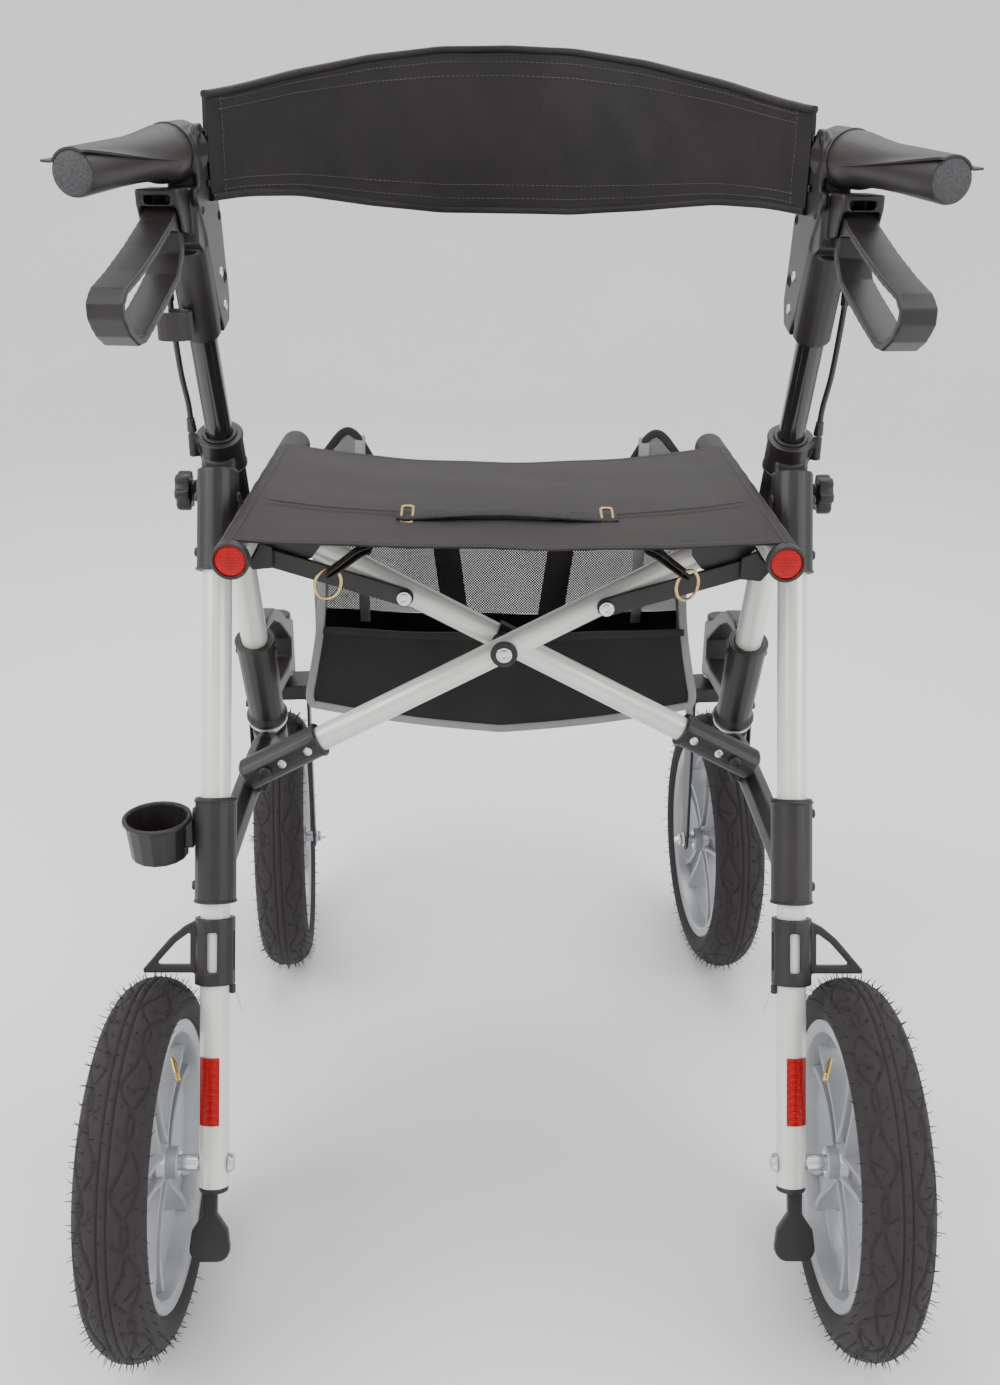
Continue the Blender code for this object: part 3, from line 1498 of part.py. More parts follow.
def basket():
    """The cloth basket ahead of the brace: a V-bottomed box open at the top."""
    half_width = BASKET_WIDTH / 2
    outer = [
        (-half_width, BASKET_TOP),
        (-half_width, BASKET_BOTTOM + BASKET_RISE),
        (0, BASKET_BOTTOM),
        (half_width, BASKET_BOTTOM + BASKET_RISE),
        (half_width, BASKET_TOP),
    ]
    made = plate("basket", outer, BASKET_DEPTH, FABRIC, (0, from_axle(BASKET_Y), 0), XZ_PLANE)
    wall = BASKET_WALL
    inner = [
        (wall - half_width, BASKET_TOP + 0.02),
        (wall - half_width, BASKET_BOTTOM + BASKET_RISE + wall),
        (0, BASKET_BOTTOM + wall),
        (half_width - wall, BASKET_BOTTOM + BASKET_RISE + wall),
        (half_width - wall, BASKET_TOP + 0.02),
    ]
    space = plate(
        "basket_space", inner, BASKET_DEPTH - 2 * wall, FABRIC, (0, from_axle(BASKET_Y), 0), XZ_PLANE
    )
    return cut(made, space)


def cane_cup():
    """The lower cane holder: a tapered cup clipped on the left strut sleeve."""
    post = post_at(-1, 0.4315)
    centre = Vector((-FRAME_X - SLEEVE_RADIUS - 0.0035 - CUP_RADIUS, post.y - 0.004, 0.4315 - CUP_DEPTH))
    profile = [
        (0, CUP_DEPTH),
        (CUP_RADIUS, CUP_DEPTH),
        (CUP_RADIUS - 0.001, CUP_DEPTH - 0.003),
        (CUP_RADIUS - 0.004, 0),
        (0, 0),
    ]
    made = turned("cane_cup", profile, centre, UP, BLACK_PLASTIC)
    clip = box(
        "cup_clip",
        (0.012, 0.016, 0.024),
        centre + Vector((CUP_RADIUS - 0.003, 0, CUP_DEPTH - 0.014)),
        BLACK_PLASTIC,
    )
    join(made, clip)
    space = turned(
        "cup_space",
        [
            (0, CUP_DEPTH + 0.01),
            (CUP_RADIUS - 0.0026, CUP_DEPTH + 0.01),
            (CUP_RADIUS - 0.0026, CUP_DEPTH),
            (CUP_RADIUS - 0.0062, 0.0022),
            (0, 0.0022),
        ],
        centre,
        UP,
        BLACK_PLASTIC,
    )
    sleeve_space = cylinder(
        "cup_sleeve_space",
        post_at(-1, SLEEVE_BOTTOM),
        post_at(-1, SLEEVE_TOP + 0.02),
        SLEEVE_RADIUS + GAP,
        BLACK_PLASTIC,
    )
    return cut(made, space, sleeve_space)


def cane_clip():
    """The upper cane holder: an open clip behind the foot of the left handle bracket."""
    axis = leg_at(-1, 0.832)
    centre = (axis.x - 0.014, axis.y - 0.034)
    outline = [*arc(centre, 0.0145, -150, 120, 13), *arc(centre, 0.0115, 120, -150, 13)]
    made = plate("cane_clip", outline, 0.022, BLACK_PLASTIC, (0, 0, 0.836))
    bridge = box(
        "clip_bridge",
        (0.009, 0.016, 0.016),
        (axis.x - 0.0045, axis.y - 0.0165, 0.836),
        BLACK_PLASTIC,
        Quaternion((0, 0, 1), math.radians(-22)),
    )
    join(made, bridge)
    tube_space = cylinder(
        "clip_tube_space",
        leg_at(-1, 0.78),
        leg_at(-1, 0.90),
        BRACKET_RADIUS + GAP,
        BLACK_PLASTIC,
    )
    return cut(made, tube_space)


# Assembly


def build_side(tag, side):
    rear_post(tag, side)
    front_leg(tag, side)
    frame_socket(tag, side)
    side_strut(tag, side)
    caster_bracket(tag, side)
    tip_pedal(tag, side)
    post_strip(tag, side)
    rear_wheel(tag, side)
    caster(tag, side)
    height_knob(tag, side)
    brake_shoe(tag, side)
    handle_tube(tag, side)
    handle_bracket(tag, side)
    grip(tag, side)
    brake_lever(tag, side)
    brake_cable(tag, side)
    upper_pivot = (side * RAIL_X, arm_y_at_upper_pivot(side), YOKE_PIVOT_HEIGHT)
    members = [seat_rail(tag, side), rail_reflector(tag, side), rail_yoke(tag, side)]
    if side < 0:
        members.append(seat())
    mount_on(f"rail_{tag}_pivot", upper_pivot, members)


def build_brace():
    for tag, towards, y in (("a", 1, ARM_A_Y), ("b", -1, ARM_B_Y)):
        members = [brace_arm(tag, towards, y), arm_socket(tag, towards, y)]
        if tag == "a":
            members.append(brace_bolt())
        mount_on(f"arm_{tag}_pivot", (-towards * PIVOT_X, y, PIVOT_HEIGHT), members)
        link, pivot = brace_link(tag, towards, y)
        mount_on(f"link_{tag}_pivot", pivot, [link])


clear_scene()
PARTS = collection("rollator_walker")
CUTTERS = collection("cutters", is_cutters=True)
PEARL = material("pearl_white_aluminium", (0.80, 0.78, 0.73), 0.32, 0.35)
GLOSS_BLACK = material("gloss_black_aluminium", (0.012, 0.011, 0.011), 0.18, 0.3)
BLACK_PLASTIC = material("black_plastic", (0.035, 0.032, 0.030), 0.55)
GRIP_PLASTIC = material("grip_plastic", (0.050, 0.047, 0.043), 0.60)
TYRE_RUBBER = material("tyre_rubber", (0.022, 0.021, 0.020), 0.80)
RIM_GREY = material("rim_grey", (0.42, 0.43, 0.45), 0.35, 0.6)
ZINC = material("zinc", (0.62, 0.64, 0.67), 0.28, 1.0)
RED = material("red_reflector", (0.75, 0.01, 0.02), 0.20)
CABLE_BLACK = material("cable_black", (0.015, 0.015, 0.015), 0.45)
FABRIC = material("charcoal_fabric", (0.055, 0.048, 0.046), 0.90)

for side_tag, side_sign in SIDES:
    build_side(side_tag, side_sign)
build_brace()
backrest()
basket()
cane_cup()
cane_clip()
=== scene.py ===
"""Finish of a folding rollator walker: fine surfaces, fabrics, tyres and metalwork on its fixed frame."""
import logging
import math
from dataclasses import dataclass, field
from enum import Enum

import bmesh
import bpy
import numpy as np
from mathutils import Matrix, Vector


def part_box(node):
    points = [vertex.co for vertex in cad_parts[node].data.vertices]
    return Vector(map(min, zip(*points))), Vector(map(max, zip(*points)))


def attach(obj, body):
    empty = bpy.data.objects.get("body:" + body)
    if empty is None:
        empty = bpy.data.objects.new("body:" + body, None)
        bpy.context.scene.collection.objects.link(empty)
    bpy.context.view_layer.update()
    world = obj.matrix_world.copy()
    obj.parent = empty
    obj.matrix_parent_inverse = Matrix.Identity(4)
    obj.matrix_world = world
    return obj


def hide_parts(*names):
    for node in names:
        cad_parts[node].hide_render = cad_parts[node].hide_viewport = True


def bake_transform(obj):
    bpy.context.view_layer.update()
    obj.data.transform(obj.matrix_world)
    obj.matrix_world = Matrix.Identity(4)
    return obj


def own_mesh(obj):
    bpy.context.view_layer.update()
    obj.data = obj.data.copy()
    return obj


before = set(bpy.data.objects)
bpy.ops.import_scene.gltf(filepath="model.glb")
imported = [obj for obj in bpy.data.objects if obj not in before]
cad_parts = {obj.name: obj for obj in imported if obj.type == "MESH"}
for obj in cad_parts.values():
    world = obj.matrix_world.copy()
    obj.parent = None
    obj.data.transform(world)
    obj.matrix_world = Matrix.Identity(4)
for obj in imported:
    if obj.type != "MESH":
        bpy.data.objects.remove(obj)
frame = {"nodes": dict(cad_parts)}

LOG = logging.getLogger("rollator")
Array = np.ndarray
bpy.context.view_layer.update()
REAR_AXLE_Y = -0.2885
WHEEL_RADIUS = 0.157
REAR_WHEEL_X = 0.3035
HUB_LENGTH = 0.050
X_AXIS, Y_AXIS, Z_AXIS = np.eye(3)
SIDES: tuple[tuple[str, int], ...] = (("l", -1), ("r", 1))


class Slot(Enum):
    """The record's material slots, listed by name; the pieces here take their finish directly and do not use
    them.
    """

    PEARL = "pearl_frame"
    GLOSS = "gloss_black_tube"
    PLASTIC = "black_plastic"
    GRIP = "grip_plastic"
    TYRE = "tyre_rubber"
    RIM = "rim_grey"
    ZINC = "zinc"
    RED = "red_reflector"
    CABLE = "cable_black"
    FABRIC = "charcoal_fabric"


def fit_y(distance: float) -> float:
    """The Y position that lies a distance ahead of the rear axle."""
    return REAR_AXLE_Y + distance


def unit(vector: Array) -> Array:
    """A vector or rows of vectors scaled to length one."""
    vector = np.asarray(vector, float)
    return vector / np.maximum(np.linalg.norm(vector, axis=-1, keepdims=True), 1e-12)


# Finishes


@dataclass(frozen=True)
class Grain:
    """Fine relief on a surface: its scale in features per metre, its height and how much it varies gloss."""

    scale: float
    height: float
    strength: float = 0.3
    gloss: float = 0.08


@dataclass(frozen=True)
class Finish:
    """A surface finish made of a colour that varies a little, a gloss that varies a little and fine grain.

    The colour mixes towards a second tone by low-frequency noise, and the bump is high-frequency noise.
    """

    name: str
    colour: tuple[float, float, float]
    second: tuple[float, float, float]
    roughness: float
    metallic: float = 0.0
    coat: float = 0.0
    sheen: float = 0.0
    grain: Grain = field(default_factory=lambda: Grain(900.0, 0.0002))
    patch_scale: float = 14.0

    def material(self) -> bpy.types.Material:
        """The Blender material, made on first use.

        Returns:
            A material with Object-coordinate colour, roughness and bump.
        """
        found = bpy.data.materials.get(self.name)
        if found:
            return found
        made = bpy.data.materials.new(self.name)
        made.use_nodes = True
        tree = made.node_tree
        shader = tree.nodes["Principled BSDF"]
        shader.inputs["Metallic"].default_value = self.metallic
        shader.inputs["Coat Weight"].default_value = self.coat
        shader.inputs["Coat Roughness"].default_value = 0.08
        shader.inputs["Sheen Weight"].default_value = self.sheen
        shader.inputs["Sheen Roughness"].default_value = 0.5
        self.dress(tree, shader)
        return made

    def dress(self, tree: bpy.types.NodeTree, shader: bpy.types.Node) -> None:
        """Adds the noise nodes for colour, gloss and bump.

        Args:
            tree: The material's node tree.
            shader: Its Principled BSDF.
        """
        place = tree.nodes.new("ShaderNodeTexCoord").outputs["Object"]
        patches = noise(tree, place, self.patch_scale, 3.0)
        grain = noise(tree, place, self.grain.scale, 2.0)
        tree.links.new(
            blend_colour(tree, patches, self.colour, self.second, (0.35, 0.65)), shader.inputs["Base Color"]
        )
        gloss = ranged(tree, grain, self.roughness - self.grain.gloss, self.roughness + self.grain.gloss)
        tree.links.new(gloss, shader.inputs["Roughness"])
        tree.links.new(bump(tree, grain, self.grain.strength, self.grain.height), shader.inputs["Normal"])


def noise(
    tree: bpy.types.NodeTree, place: bpy.types.NodeSocket, scale: float, detail: float
) -> bpy.types.NodeSocket:
    """A noise value from 0 to 1 at a place."""
    node = tree.nodes.new("ShaderNodeTexNoise")
    node.inputs["Scale"].default_value = scale
    node.inputs["Detail"].default_value = detail
    tree.links.new(place, node.inputs["Vector"])
    return node.outputs["Fac"]


def math_node(
    tree: bpy.types.NodeTree, operation: str, first: bpy.types.NodeSocket | float, second: object = None
) -> bpy.types.NodeSocket:
    """One sum of the shader's arithmetic, on sockets or plain numbers."""
    node = tree.nodes.new("ShaderNodeMath")
    node.operation = operation
    for socket, value in zip(node.inputs, (first, second)):
        if isinstance(value, bpy.types.NodeSocket):
            tree.links.new(value, socket)
        elif value is not None:
            socket.default_value = value
    return node.outputs[0]


def ranged(
    tree: bpy.types.NodeTree, value: bpy.types.NodeSocket, low: float, high: float
) -> bpy.types.NodeSocket:
    """A noise value stretched from its usual 0.3 to 0.7 onto low to high."""
    node = tree.nodes.new("ShaderNodeMapRange")
    node.inputs["From Min"].default_value = 0.3
    node.inputs["From Max"].default_value = 0.7
    node.inputs["To Min"].default_value = low
    node.inputs["To Max"].default_value = high
    tree.links.new(value, node.inputs["Value"])
    return node.outputs["Result"]


def blend_colour(
    tree: bpy.types.NodeTree,
    value: bpy.types.NodeSocket,
    low: tuple[float, float, float],
    high: tuple[float, float, float],
    stops: tuple[float, float],
) -> bpy.types.NodeSocket:
    """A colour that runs from low to high as the value passes between two stops."""
    ramp = tree.nodes.new("ShaderNodeValToRGB")
    for element, stop, colour in zip(ramp.color_ramp.elements, stops, (low, high)):
        element.position = stop
        element.color = (*colour, 1.0)
    tree.links.new(value, ramp.inputs["Fac"])
    return ramp.outputs["Color"]


def bump(
    tree: bpy.types.NodeTree, height: bpy.types.NodeSocket, strength: float, distance: float
) -> bpy.types.NodeSocket:
    """A normal tilted by a height value."""
    node = tree.nodes.new("ShaderNodeBump")
    node.inputs["Strength"].default_value = strength
    node.inputs["Distance"].default_value = distance
    tree.links.new(height, node.inputs["Height"])
    return node.outputs["Normal"]


@dataclass(frozen=True)
class Weave(Finish):
    """A plain-woven cloth on the piece's UV map, whose units are metres.

    Thread height is |sin(pi u / pitch)| where the warp is on top and |sin(pi v / pitch)| where the weft is,
    which alternate like a chequerboard. The thread height is also painted into the colour: painted light on
    the crowns and painted shade in the gaps between threads. Slow noise adds wear.
    """

    pitch: float = 0.0009
    open_share: float = 0.0
    diagonal: bool = False

    def dress(self, tree: bpy.types.NodeTree, shader: bpy.types.Node) -> None:
        """Adds the weave's colour, bump and, for a net, its holes.

        Args:
            tree: The material's node tree.
            shader: Its Principled BSDF.
        """
        uv = tree.nodes.new("ShaderNodeUVMap").outputs["UV"]
        split = tree.nodes.new("ShaderNodeSeparateXYZ")
        tree.links.new(uv, split.inputs[0])
        ways = [split.outputs["X"], split.outputs["Y"]]
        if self.diagonal:
            ways = [math_node(tree, "ADD", *ways), math_node(tree, "SUBTRACT", *ways)]
        waves = []
        for way in ways:
            turns = math_node(tree, "MULTIPLY", way, math.pi / self.pitch)
            waves.append(math_node(tree, "SINE", turns))
        product = math_node(tree, "MULTIPLY", waves[0], waves[1])
        sides = [math_node(tree, "ABSOLUTE", wave) for wave in waves]
        crowns = math_node(tree, "MULTIPLY", sides[0], sides[1])
        alternate = math_node(tree, "MULTIPLY", product, 0.35)
        threads = math_node(tree, "ADD", crowns, alternate)
        place = tree.nodes.new("ShaderNodeTexCoord").outputs["Object"]
        patches = noise(tree, place, self.patch_scale, 4.0)
        # Painted light and shade: the thread height lightens the colour on the crowns and darkens it in the
        # gaps, added to the slow tone noise.
        tone_and_thread_shade = math_node(tree, "ADD", math_node(tree, "MULTIPLY", threads, 0.22), patches)
        tree.links.new(
            blend_colour(tree, tone_and_thread_shade, self.colour, self.second, (0.40, 0.85)), shader.inputs["Base Color"]
        )
        tree.links.new(
            ranged(tree, patches, self.roughness - 0.07, self.roughness + 0.07), shader.inputs["Roughness"]
        )
        shader.inputs["Specular IOR Level"].default_value = 0.30
        tree.links.new(
            bump(tree, threads, self.grain.strength, self.grain.height), shader.inputs["Normal"]
        )
        if self.open_share:
            solid = math_node(tree, "LESS_THAN", crowns, 1.0 - self.open_share)
            tree.links.new(solid, shader.inputs["Alpha"])


PEARL = Finish(
    "pearl_white_paint", (0.83, 0.82, 0.775), (0.76, 0.75, 0.70), 0.30, 0.22, 0.35,
    grain=Grain(2600, 0.00004, 0.15, 0.05)
)
GLOSS_BLACK = Finish(
    "gloss_black_paint", (0.010, 0.009, 0.009), (0.016, 0.014, 0.014), 0.20, 0.1, 0.6,
    grain=Grain(1800, 0.00003, 0.1, 0.04)
)
CASTING = Finish(
    "moulded_black_plastic", (0.0125, 0.0105, 0.0098), (0.020, 0.0172, 0.0160), 0.42,
    grain=Grain(2200, 0.00012, 0.35, 0.07)
)
GRIP = Finish(
    "grip_black_plastic", (0.020, 0.0172, 0.0158), (0.030, 0.0262, 0.0240), 0.46,
    grain=Grain(1500, 0.00025, 0.55, 0.08)
)
GRIP_END = Finish(
    "grip_end_pebble", (0.030, 0.030, 0.032), (0.060, 0.060, 0.063), 0.55,
    grain=Grain(620, 0.0012, 1.0, 0.12), patch_scale=700
)
RUBBER = Finish(
    "tyre_rubber", (0.013, 0.012, 0.012), (0.024, 0.0225, 0.022), 0.55, grain=Grain(1300, 0.00030, 0.5, 0.10)
)
RIM_PAINT = Finish(
    "rim_silver_grey", (0.33, 0.34, 0.36), (0.40, 0.41, 0.43), 0.36, 0.45, 0.15,
    grain=Grain(2400, 0.00008, 0.25, 0.06)
)
ZINC = Finish(
    "bright_zinc", (0.66, 0.68, 0.70), (0.78, 0.79, 0.80), 0.24, 1.0, grain=Grain(1700, 0.00006, 0.3, 0.08)
)
BRASS = Finish(
    "valve_brass", (0.60, 0.42, 0.16), (0.70, 0.52, 0.22), 0.28, 1.0, grain=Grain(1700, 0.00005, 0.3, 0.08)
)
CABLE = Finish(
    "cable_sheath", (0.016, 0.016, 0.016), (0.026, 0.025, 0.025), 0.38, grain=Grain(2000, 0.00006, 0.3, 0.06)
)
SEAT_CLOTH = Weave(
    "seat_nylon", (0.0130, 0.0100, 0.0098), (0.034, 0.0262, 0.0255), 0.66, sheen=0.03,
    grain=Grain(1, 0.00025, 0.55), patch_scale=22, pitch=0.00085
)
BACK_CLOTH = Weave(
    "backrest_nylon", (0.0090, 0.0072, 0.0070), (0.022, 0.0180, 0.0175), 0.60, sheen=0.03,
    grain=Grain(1, 0.00022, 0.5), patch_scale=16, pitch=0.0008
)
BAG_CLOTH = Weave(
    "bag_nylon", (0.007, 0.0062, 0.006), (0.020, 0.018, 0.0175), 0.66, sheen=0.03,
    grain=Grain(1, 0.0002, 0.5), pitch=0.0009
)
NET = Weave(
    "bag_net", (0.008, 0.0075, 0.0075), (0.020, 0.018, 0.018), 0.58, grain=Grain(1, 0.0003, 0.4),
    pitch=0.0029, open_share=0.34, diagonal=True
)
WEBBING = Weave(
    "black_webbing", (0.009, 0.0078, 0.0076), (0.030, 0.0262, 0.025), 0.58, grain=Grain(1, 0.0004, 0.7),
    pitch=0.0015
)
BINDING = Weave(
    "grey_binding", (0.20, 0.20, 0.205), (0.34, 0.34, 0.345), 0.60, sheen=0.1, grain=Grain(1, 0.0003, 0.6),
    pitch=0.0012
)
GUSSET = Weave(
    "maroon_gusset", (0.040, 0.016, 0.016), (0.085, 0.036, 0.034), 0.62, sheen=0.15,
    grain=Grain(1, 0.0002, 0.5), pitch=0.0009
)
THREAD = Finish(
    "sewing_thread", (0.055, 0.049, 0.047), (0.090, 0.080, 0.077), 0.60, grain=Grain(3000, 0.0001, 0.5, 0.05)
)


@dataclass(frozen=True)
class Reflector(Finish):
    """A red prismatic reflector: a honeycomb of small cells whose rims are darker and whose faces tilt."""

    cell_scale: float = 420.0

    def dress(self, tree: bpy.types.NodeTree, shader: bpy.types.Node) -> None:
        """Adds the prism cells.

        Args:
            tree: The material's node tree.
            shader: Its Principled BSDF.
        """
        place = tree.nodes.new("ShaderNodeTexCoord").outputs["Object"]
        cells = tree.nodes.new("ShaderNodeTexVoronoi")
        cells.inputs["Scale"].default_value = self.cell_scale
        cells.inputs["Randomness"].default_value = 0.15
        tree.links.new(place, cells.inputs["Vector"])
        distance = cells.outputs["Distance"]
        tree.links.new(
            blend_colour(tree, distance, self.colour, self.second, (0.15, 0.75)), shader.inputs["Base Color"]
        )
        tree.links.new(ranged(tree, distance, 0.22, 0.38), shader.inputs["Roughness"])
        shader.inputs["Specular IOR Level"].default_value = 0.22
        tree.links.new(bump(tree, distance, 0.5, 0.0004), shader.inputs["Normal"])


RED = Reflector("red_prisms", (0.62, 0.004, 0.006), (0.24, 0.001, 0.003), 0.30, coat=0.15)


# Surfaces


@dataclass
class Surface:
    """Points, faces and flat coordinates of one open or closed sheet."""

    points: Array
    faces: list[list[int]]
    flat: Array | None = None


def grid(
    points: Array, wrap_u: bool = False, wrap_v: bool = False, caps: bool = False, flat: Array | None = None
) -> Surface:
    """A surface on a grid of points.

    Point (i, j) joins (i + 1, j) and (i, j + 1), and the last row joins the first where that way is wrapped.

    Args:
        points: The grid, rows by columns by 3.
        wrap_u: Whether the last row joins the first.
        wrap_v: Whether the last column joins the first.
        caps: Whether the first and last rows are closed with a flat face.
        flat: The grid's flat coordinates in metres, rows by columns by 2.

    Returns:
        The surface, with four-sided faces.
    """
    rows, columns = points.shape[:2]
    index = np.arange(rows * columns).reshape(rows, columns)
    ahead = np.roll(index, -1, 0) if wrap_u else index[1:]
    here = index if wrap_u else index[:-1]
    if wrap_v:
        quads = np.stack((here, ahead, np.roll(ahead, -1, 1), np.roll(here, -1, 1)), -1)
    else:
        quads = np.stack((here[:, :-1], ahead[:, :-1], ahead[:, 1:], here[:, 1:]), -1)
    faces = quads.reshape(-1, 4).tolist()
    if caps:
        faces += [index[0].tolist(), index[-1][::-1].tolist()]
    return Surface(points.reshape(-1, 3), faces, None if flat is None else flat.reshape(-1, 2))


def across(direction: Array) -> tuple[Array, Array]:
    """Two unit vectors square to a direction and to each other."""
    direction = unit(direction)
    helper = X_AXIS if abs(direction[0]) < 0.9 else Y_AXIS
    side = unit(np.cross(direction, helper))
    return side, np.cross(direction, side)


def lathe(profile: list[tuple[float, float]], origin: Array, axis: Array, steps: int = 48) -> Surface:
    """A turned surface: point = origin + height * axis + radius * (cos a * side + sin a * up).

    Args:
        profile: Radius and height pairs from one end to the other.
        origin: The point at height zero.
        axis: The turning axis.
        steps: Points round the circle.

    Returns:
        The surface; radius zero closes it.
    """
    axis = unit(axis)
    side, up = across(axis)
    angle = np.linspace(0, math.tau, steps, endpoint=False)
    ring = np.cos(angle)[:, None] * side + np.sin(angle)[:, None] * up
    shape = np.asarray(profile, float)
    points = np.asarray(origin) + shape[:, 1, None, None] * axis + shape[:, 0, None, None] * ring
    return grid(points, wrap_v=True)


def tube(start: Array, end: Array, radius: float, wall: float = 0.0013, steps: int = 48) -> Surface:
    """A straight tube with rounded lips: a closed profile turned about the line from start to end."""
    length = float(np.linalg.norm(np.asarray(end) - start))
    inner, lip = radius - wall, min(0.0004, wall / 3)
    profile = [
        (radius - lip, 0), (radius, lip), (radius, length - lip), (radius - lip, length),
        (inner, length), (inner, 0), (radius - lip, 0),
    ]
    return lathe(profile, start, np.asarray(end) - start, steps)


def smooth(points: Array, count: int) -> Array:
    """A Catmull-Rom curve: each span mixes its four neighbours by cubic weights of the share along it.

    Args:
        points: The points it passes through.
        count: How many points to return.

    Returns:
        Points along the curve.
    """
    points = np.asarray(points, float)
    padded = np.vstack((2 * points[0] - points[1], points, 2 * points[-1] - points[-2]))
    place = np.linspace(0, len(points) - 1, count)
    span = np.minimum(place.astype(int), len(points) - 2)
    t = (place - span)[:, None]
    a, b, c, d = (padded[span + k] for k in range(4))
    return 0.5 * (2 * b + (c - a) * t + (2 * a - 5 * b + 4 * c - d) * t**2 + (3 * b - a - 3 * c + d) * t**3)


def rounded(width: float, height: float, radius: float, corner: int = 5) -> Array:
    """A rectangle's outline with quarter-circle corners, as points in its plane."""
    radius = min(radius, width / 2 - 1e-5, height / 2 - 1e-5)
    angle = np.linspace(0, math.pi / 2, corner)
    turns = [angle + quarter * math.pi / 2 for quarter in range(4)]
    signs = ((1, 1), (-1, 1), (-1, -1), (1, -1))
    return np.vstack([
        np.stack((
            sx * (width / 2 - radius) + radius * np.cos(turn),
            sy * (height / 2 - radius) + radius * np.sin(turn)
        ), -1)
        for turn, (sx, sy) in zip(turns, signs)
    ])


def sweep(
    section: Array, path: Array, up: Array = Z_AXIS, scale: Array | None = None, loop: bool = False
) -> Surface:
    """A section carried along a path: point = path + s * side + t * normal, where side = tangent x up.

    Args:
        section: The outline in its plane, n by 2.
        path: The points it follows, m by 3.
        up: The direction that the section's second axis stays nearest to.
        scale: The section's size at each point, m or m by 2.
        loop: Whether the path is closed.

    Returns:
        A closed surface, capped where the path is open.
    """
    path = np.asarray(path, float)
    tangent = np.roll(path, -1, 0) - np.roll(path, 1, 0) if loop else np.gradient(path, axis=0)
    tangent = unit(tangent)
    side = unit(np.cross(tangent, up))
    normal = np.cross(side, tangent)
    size = np.ones((len(path), 2)) if scale is None else np.broadcast_to(
        np.asarray(scale, float).reshape(len(path), -1), (len(path), 2)
    )
    first = section[None, :, 0, None] * size[:, 0, None, None] * side[:, None]
    second = section[None, :, 1, None] * size[:, 1, None, None] * normal[:, None]
    return grid(path[:, None] + first + second, wrap_u=loop, wrap_v=True, caps=not loop)


def circle(radius: float, count: int = 12) -> Array:
    """A circle's points in its plane."""
    angle = np.linspace(0, math.tau, count, endpoint=False)
    return radius * np.stack((np.cos(angle), np.sin(angle)), -1)


def block(
    size: tuple[float, float, float], centre: Array, axes: tuple[Array, Array, Array], radius: float
) -> Surface:
    """A box with rounded edges: a rounded outline carried along its third axis, drawn in at both ends.

    Args:
        size: Lengths along the three axes.
        centre: Its middle.
        axes: Its unit axes.
        radius: The edge radius.

    Returns:
        A closed surface.
    """
    angle = np.linspace(0, math.pi / 2, 4)
    inset = radius * (1 - np.sin(angle))
    rise = size[2] / 2 - radius + radius * np.cos(angle)[::1]
    heights = np.concatenate((-rise, rise[::-1]))
    insets = np.concatenate((inset[::1], inset[::-1]))
    outline = rounded(size[0], size[1], radius)
    shrink = 1 - 2 * insets[:, None] / np.array(size[:2])
    first, second, third = (unit(a) for a in axes)
    points = (
        np.asarray(centre)
        + heights[:, None, None] * third
        + (outline[None, :, 0] * shrink[:, 0, None])[..., None] * first
        + (outline[None, :, 1] * shrink[:, 1, None])[..., None] * second
    )
    return grid(points, wrap_v=True, caps=True)


def make(
    name: str, surfaces: list[Surface], finish: Finish, body: str,
    stands_for: tuple[str, ...] = (),
    angle: float = 35.0, closed: bool = True,
) -> bpy.types.Object:
    """One finished piece from its surfaces.

    Args:
        name: The piece's name.
        surfaces: What it is made of.
        finish: Its finish.
        body: The body it rides on.
        stands_for: The nodes it replaces.
        angle: Edges sharper than this many degrees stay crisp.
        closed: Whether its faces can be turned outwards.

    Returns:
        The object, at the origin.
    """
    starts = np.cumsum([0] + [len(s.points) for s in surfaces])
    points = np.vstack([s.points for s in surfaces])
    faces = [[v + int(start) for v in f] for s, start in zip(surfaces, starts) for f in s.faces]
    mesh = bpy.data.meshes.new(name)
    mesh.from_pydata(points.tolist(), [], faces)
    if any(s.flat is not None for s in surfaces):
        flat = np.vstack([np.zeros((len(s.points), 2)) if s.flat is None else s.flat for s in surfaces])
        corner = np.empty(len(mesh.loops), dtype=np.int32)
        mesh.loops.foreach_get("vertex_index", corner)
        layer = mesh.uv_layers.new(name="cloth")
        layer.data.foreach_set("uv", flat[corner].astype(np.float32).ravel())
    shape = bmesh.new()
    shape.from_mesh(mesh)
    bmesh.ops.remove_doubles(shape, verts=shape.verts, dist=2e-6)
    if closed:
        bmesh.ops.recalc_face_normals(shape, faces=shape.faces)
    shape.to_mesh(mesh)
    shape.free()
    return dress(name, mesh, finish, body, stands_for, angle)


def dress(
    name: str, mesh: bpy.types.Mesh, finish: Finish, body: str, stands_for: tuple[str, ...],
    angle: float
) -> bpy.types.Object:
    """Puts a finished mesh in the scene on its body, with its material and the nodes it replaces."""
    mesh.shade_smooth()
    mesh.set_sharp_from_angle(angle=math.radians(angle))
    mesh.materials.clear()
    mesh.materials.append(finish.material())
    piece = bpy.data.objects.new(name, mesh)
    bpy.context.scene.collection.objects.link(piece)
    if body:
        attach(piece, body)
    if stands_for:
        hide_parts(*stands_for)
    LOG.info("%s: %d faces on %s", name, len(mesh.polygons), body)
    return piece


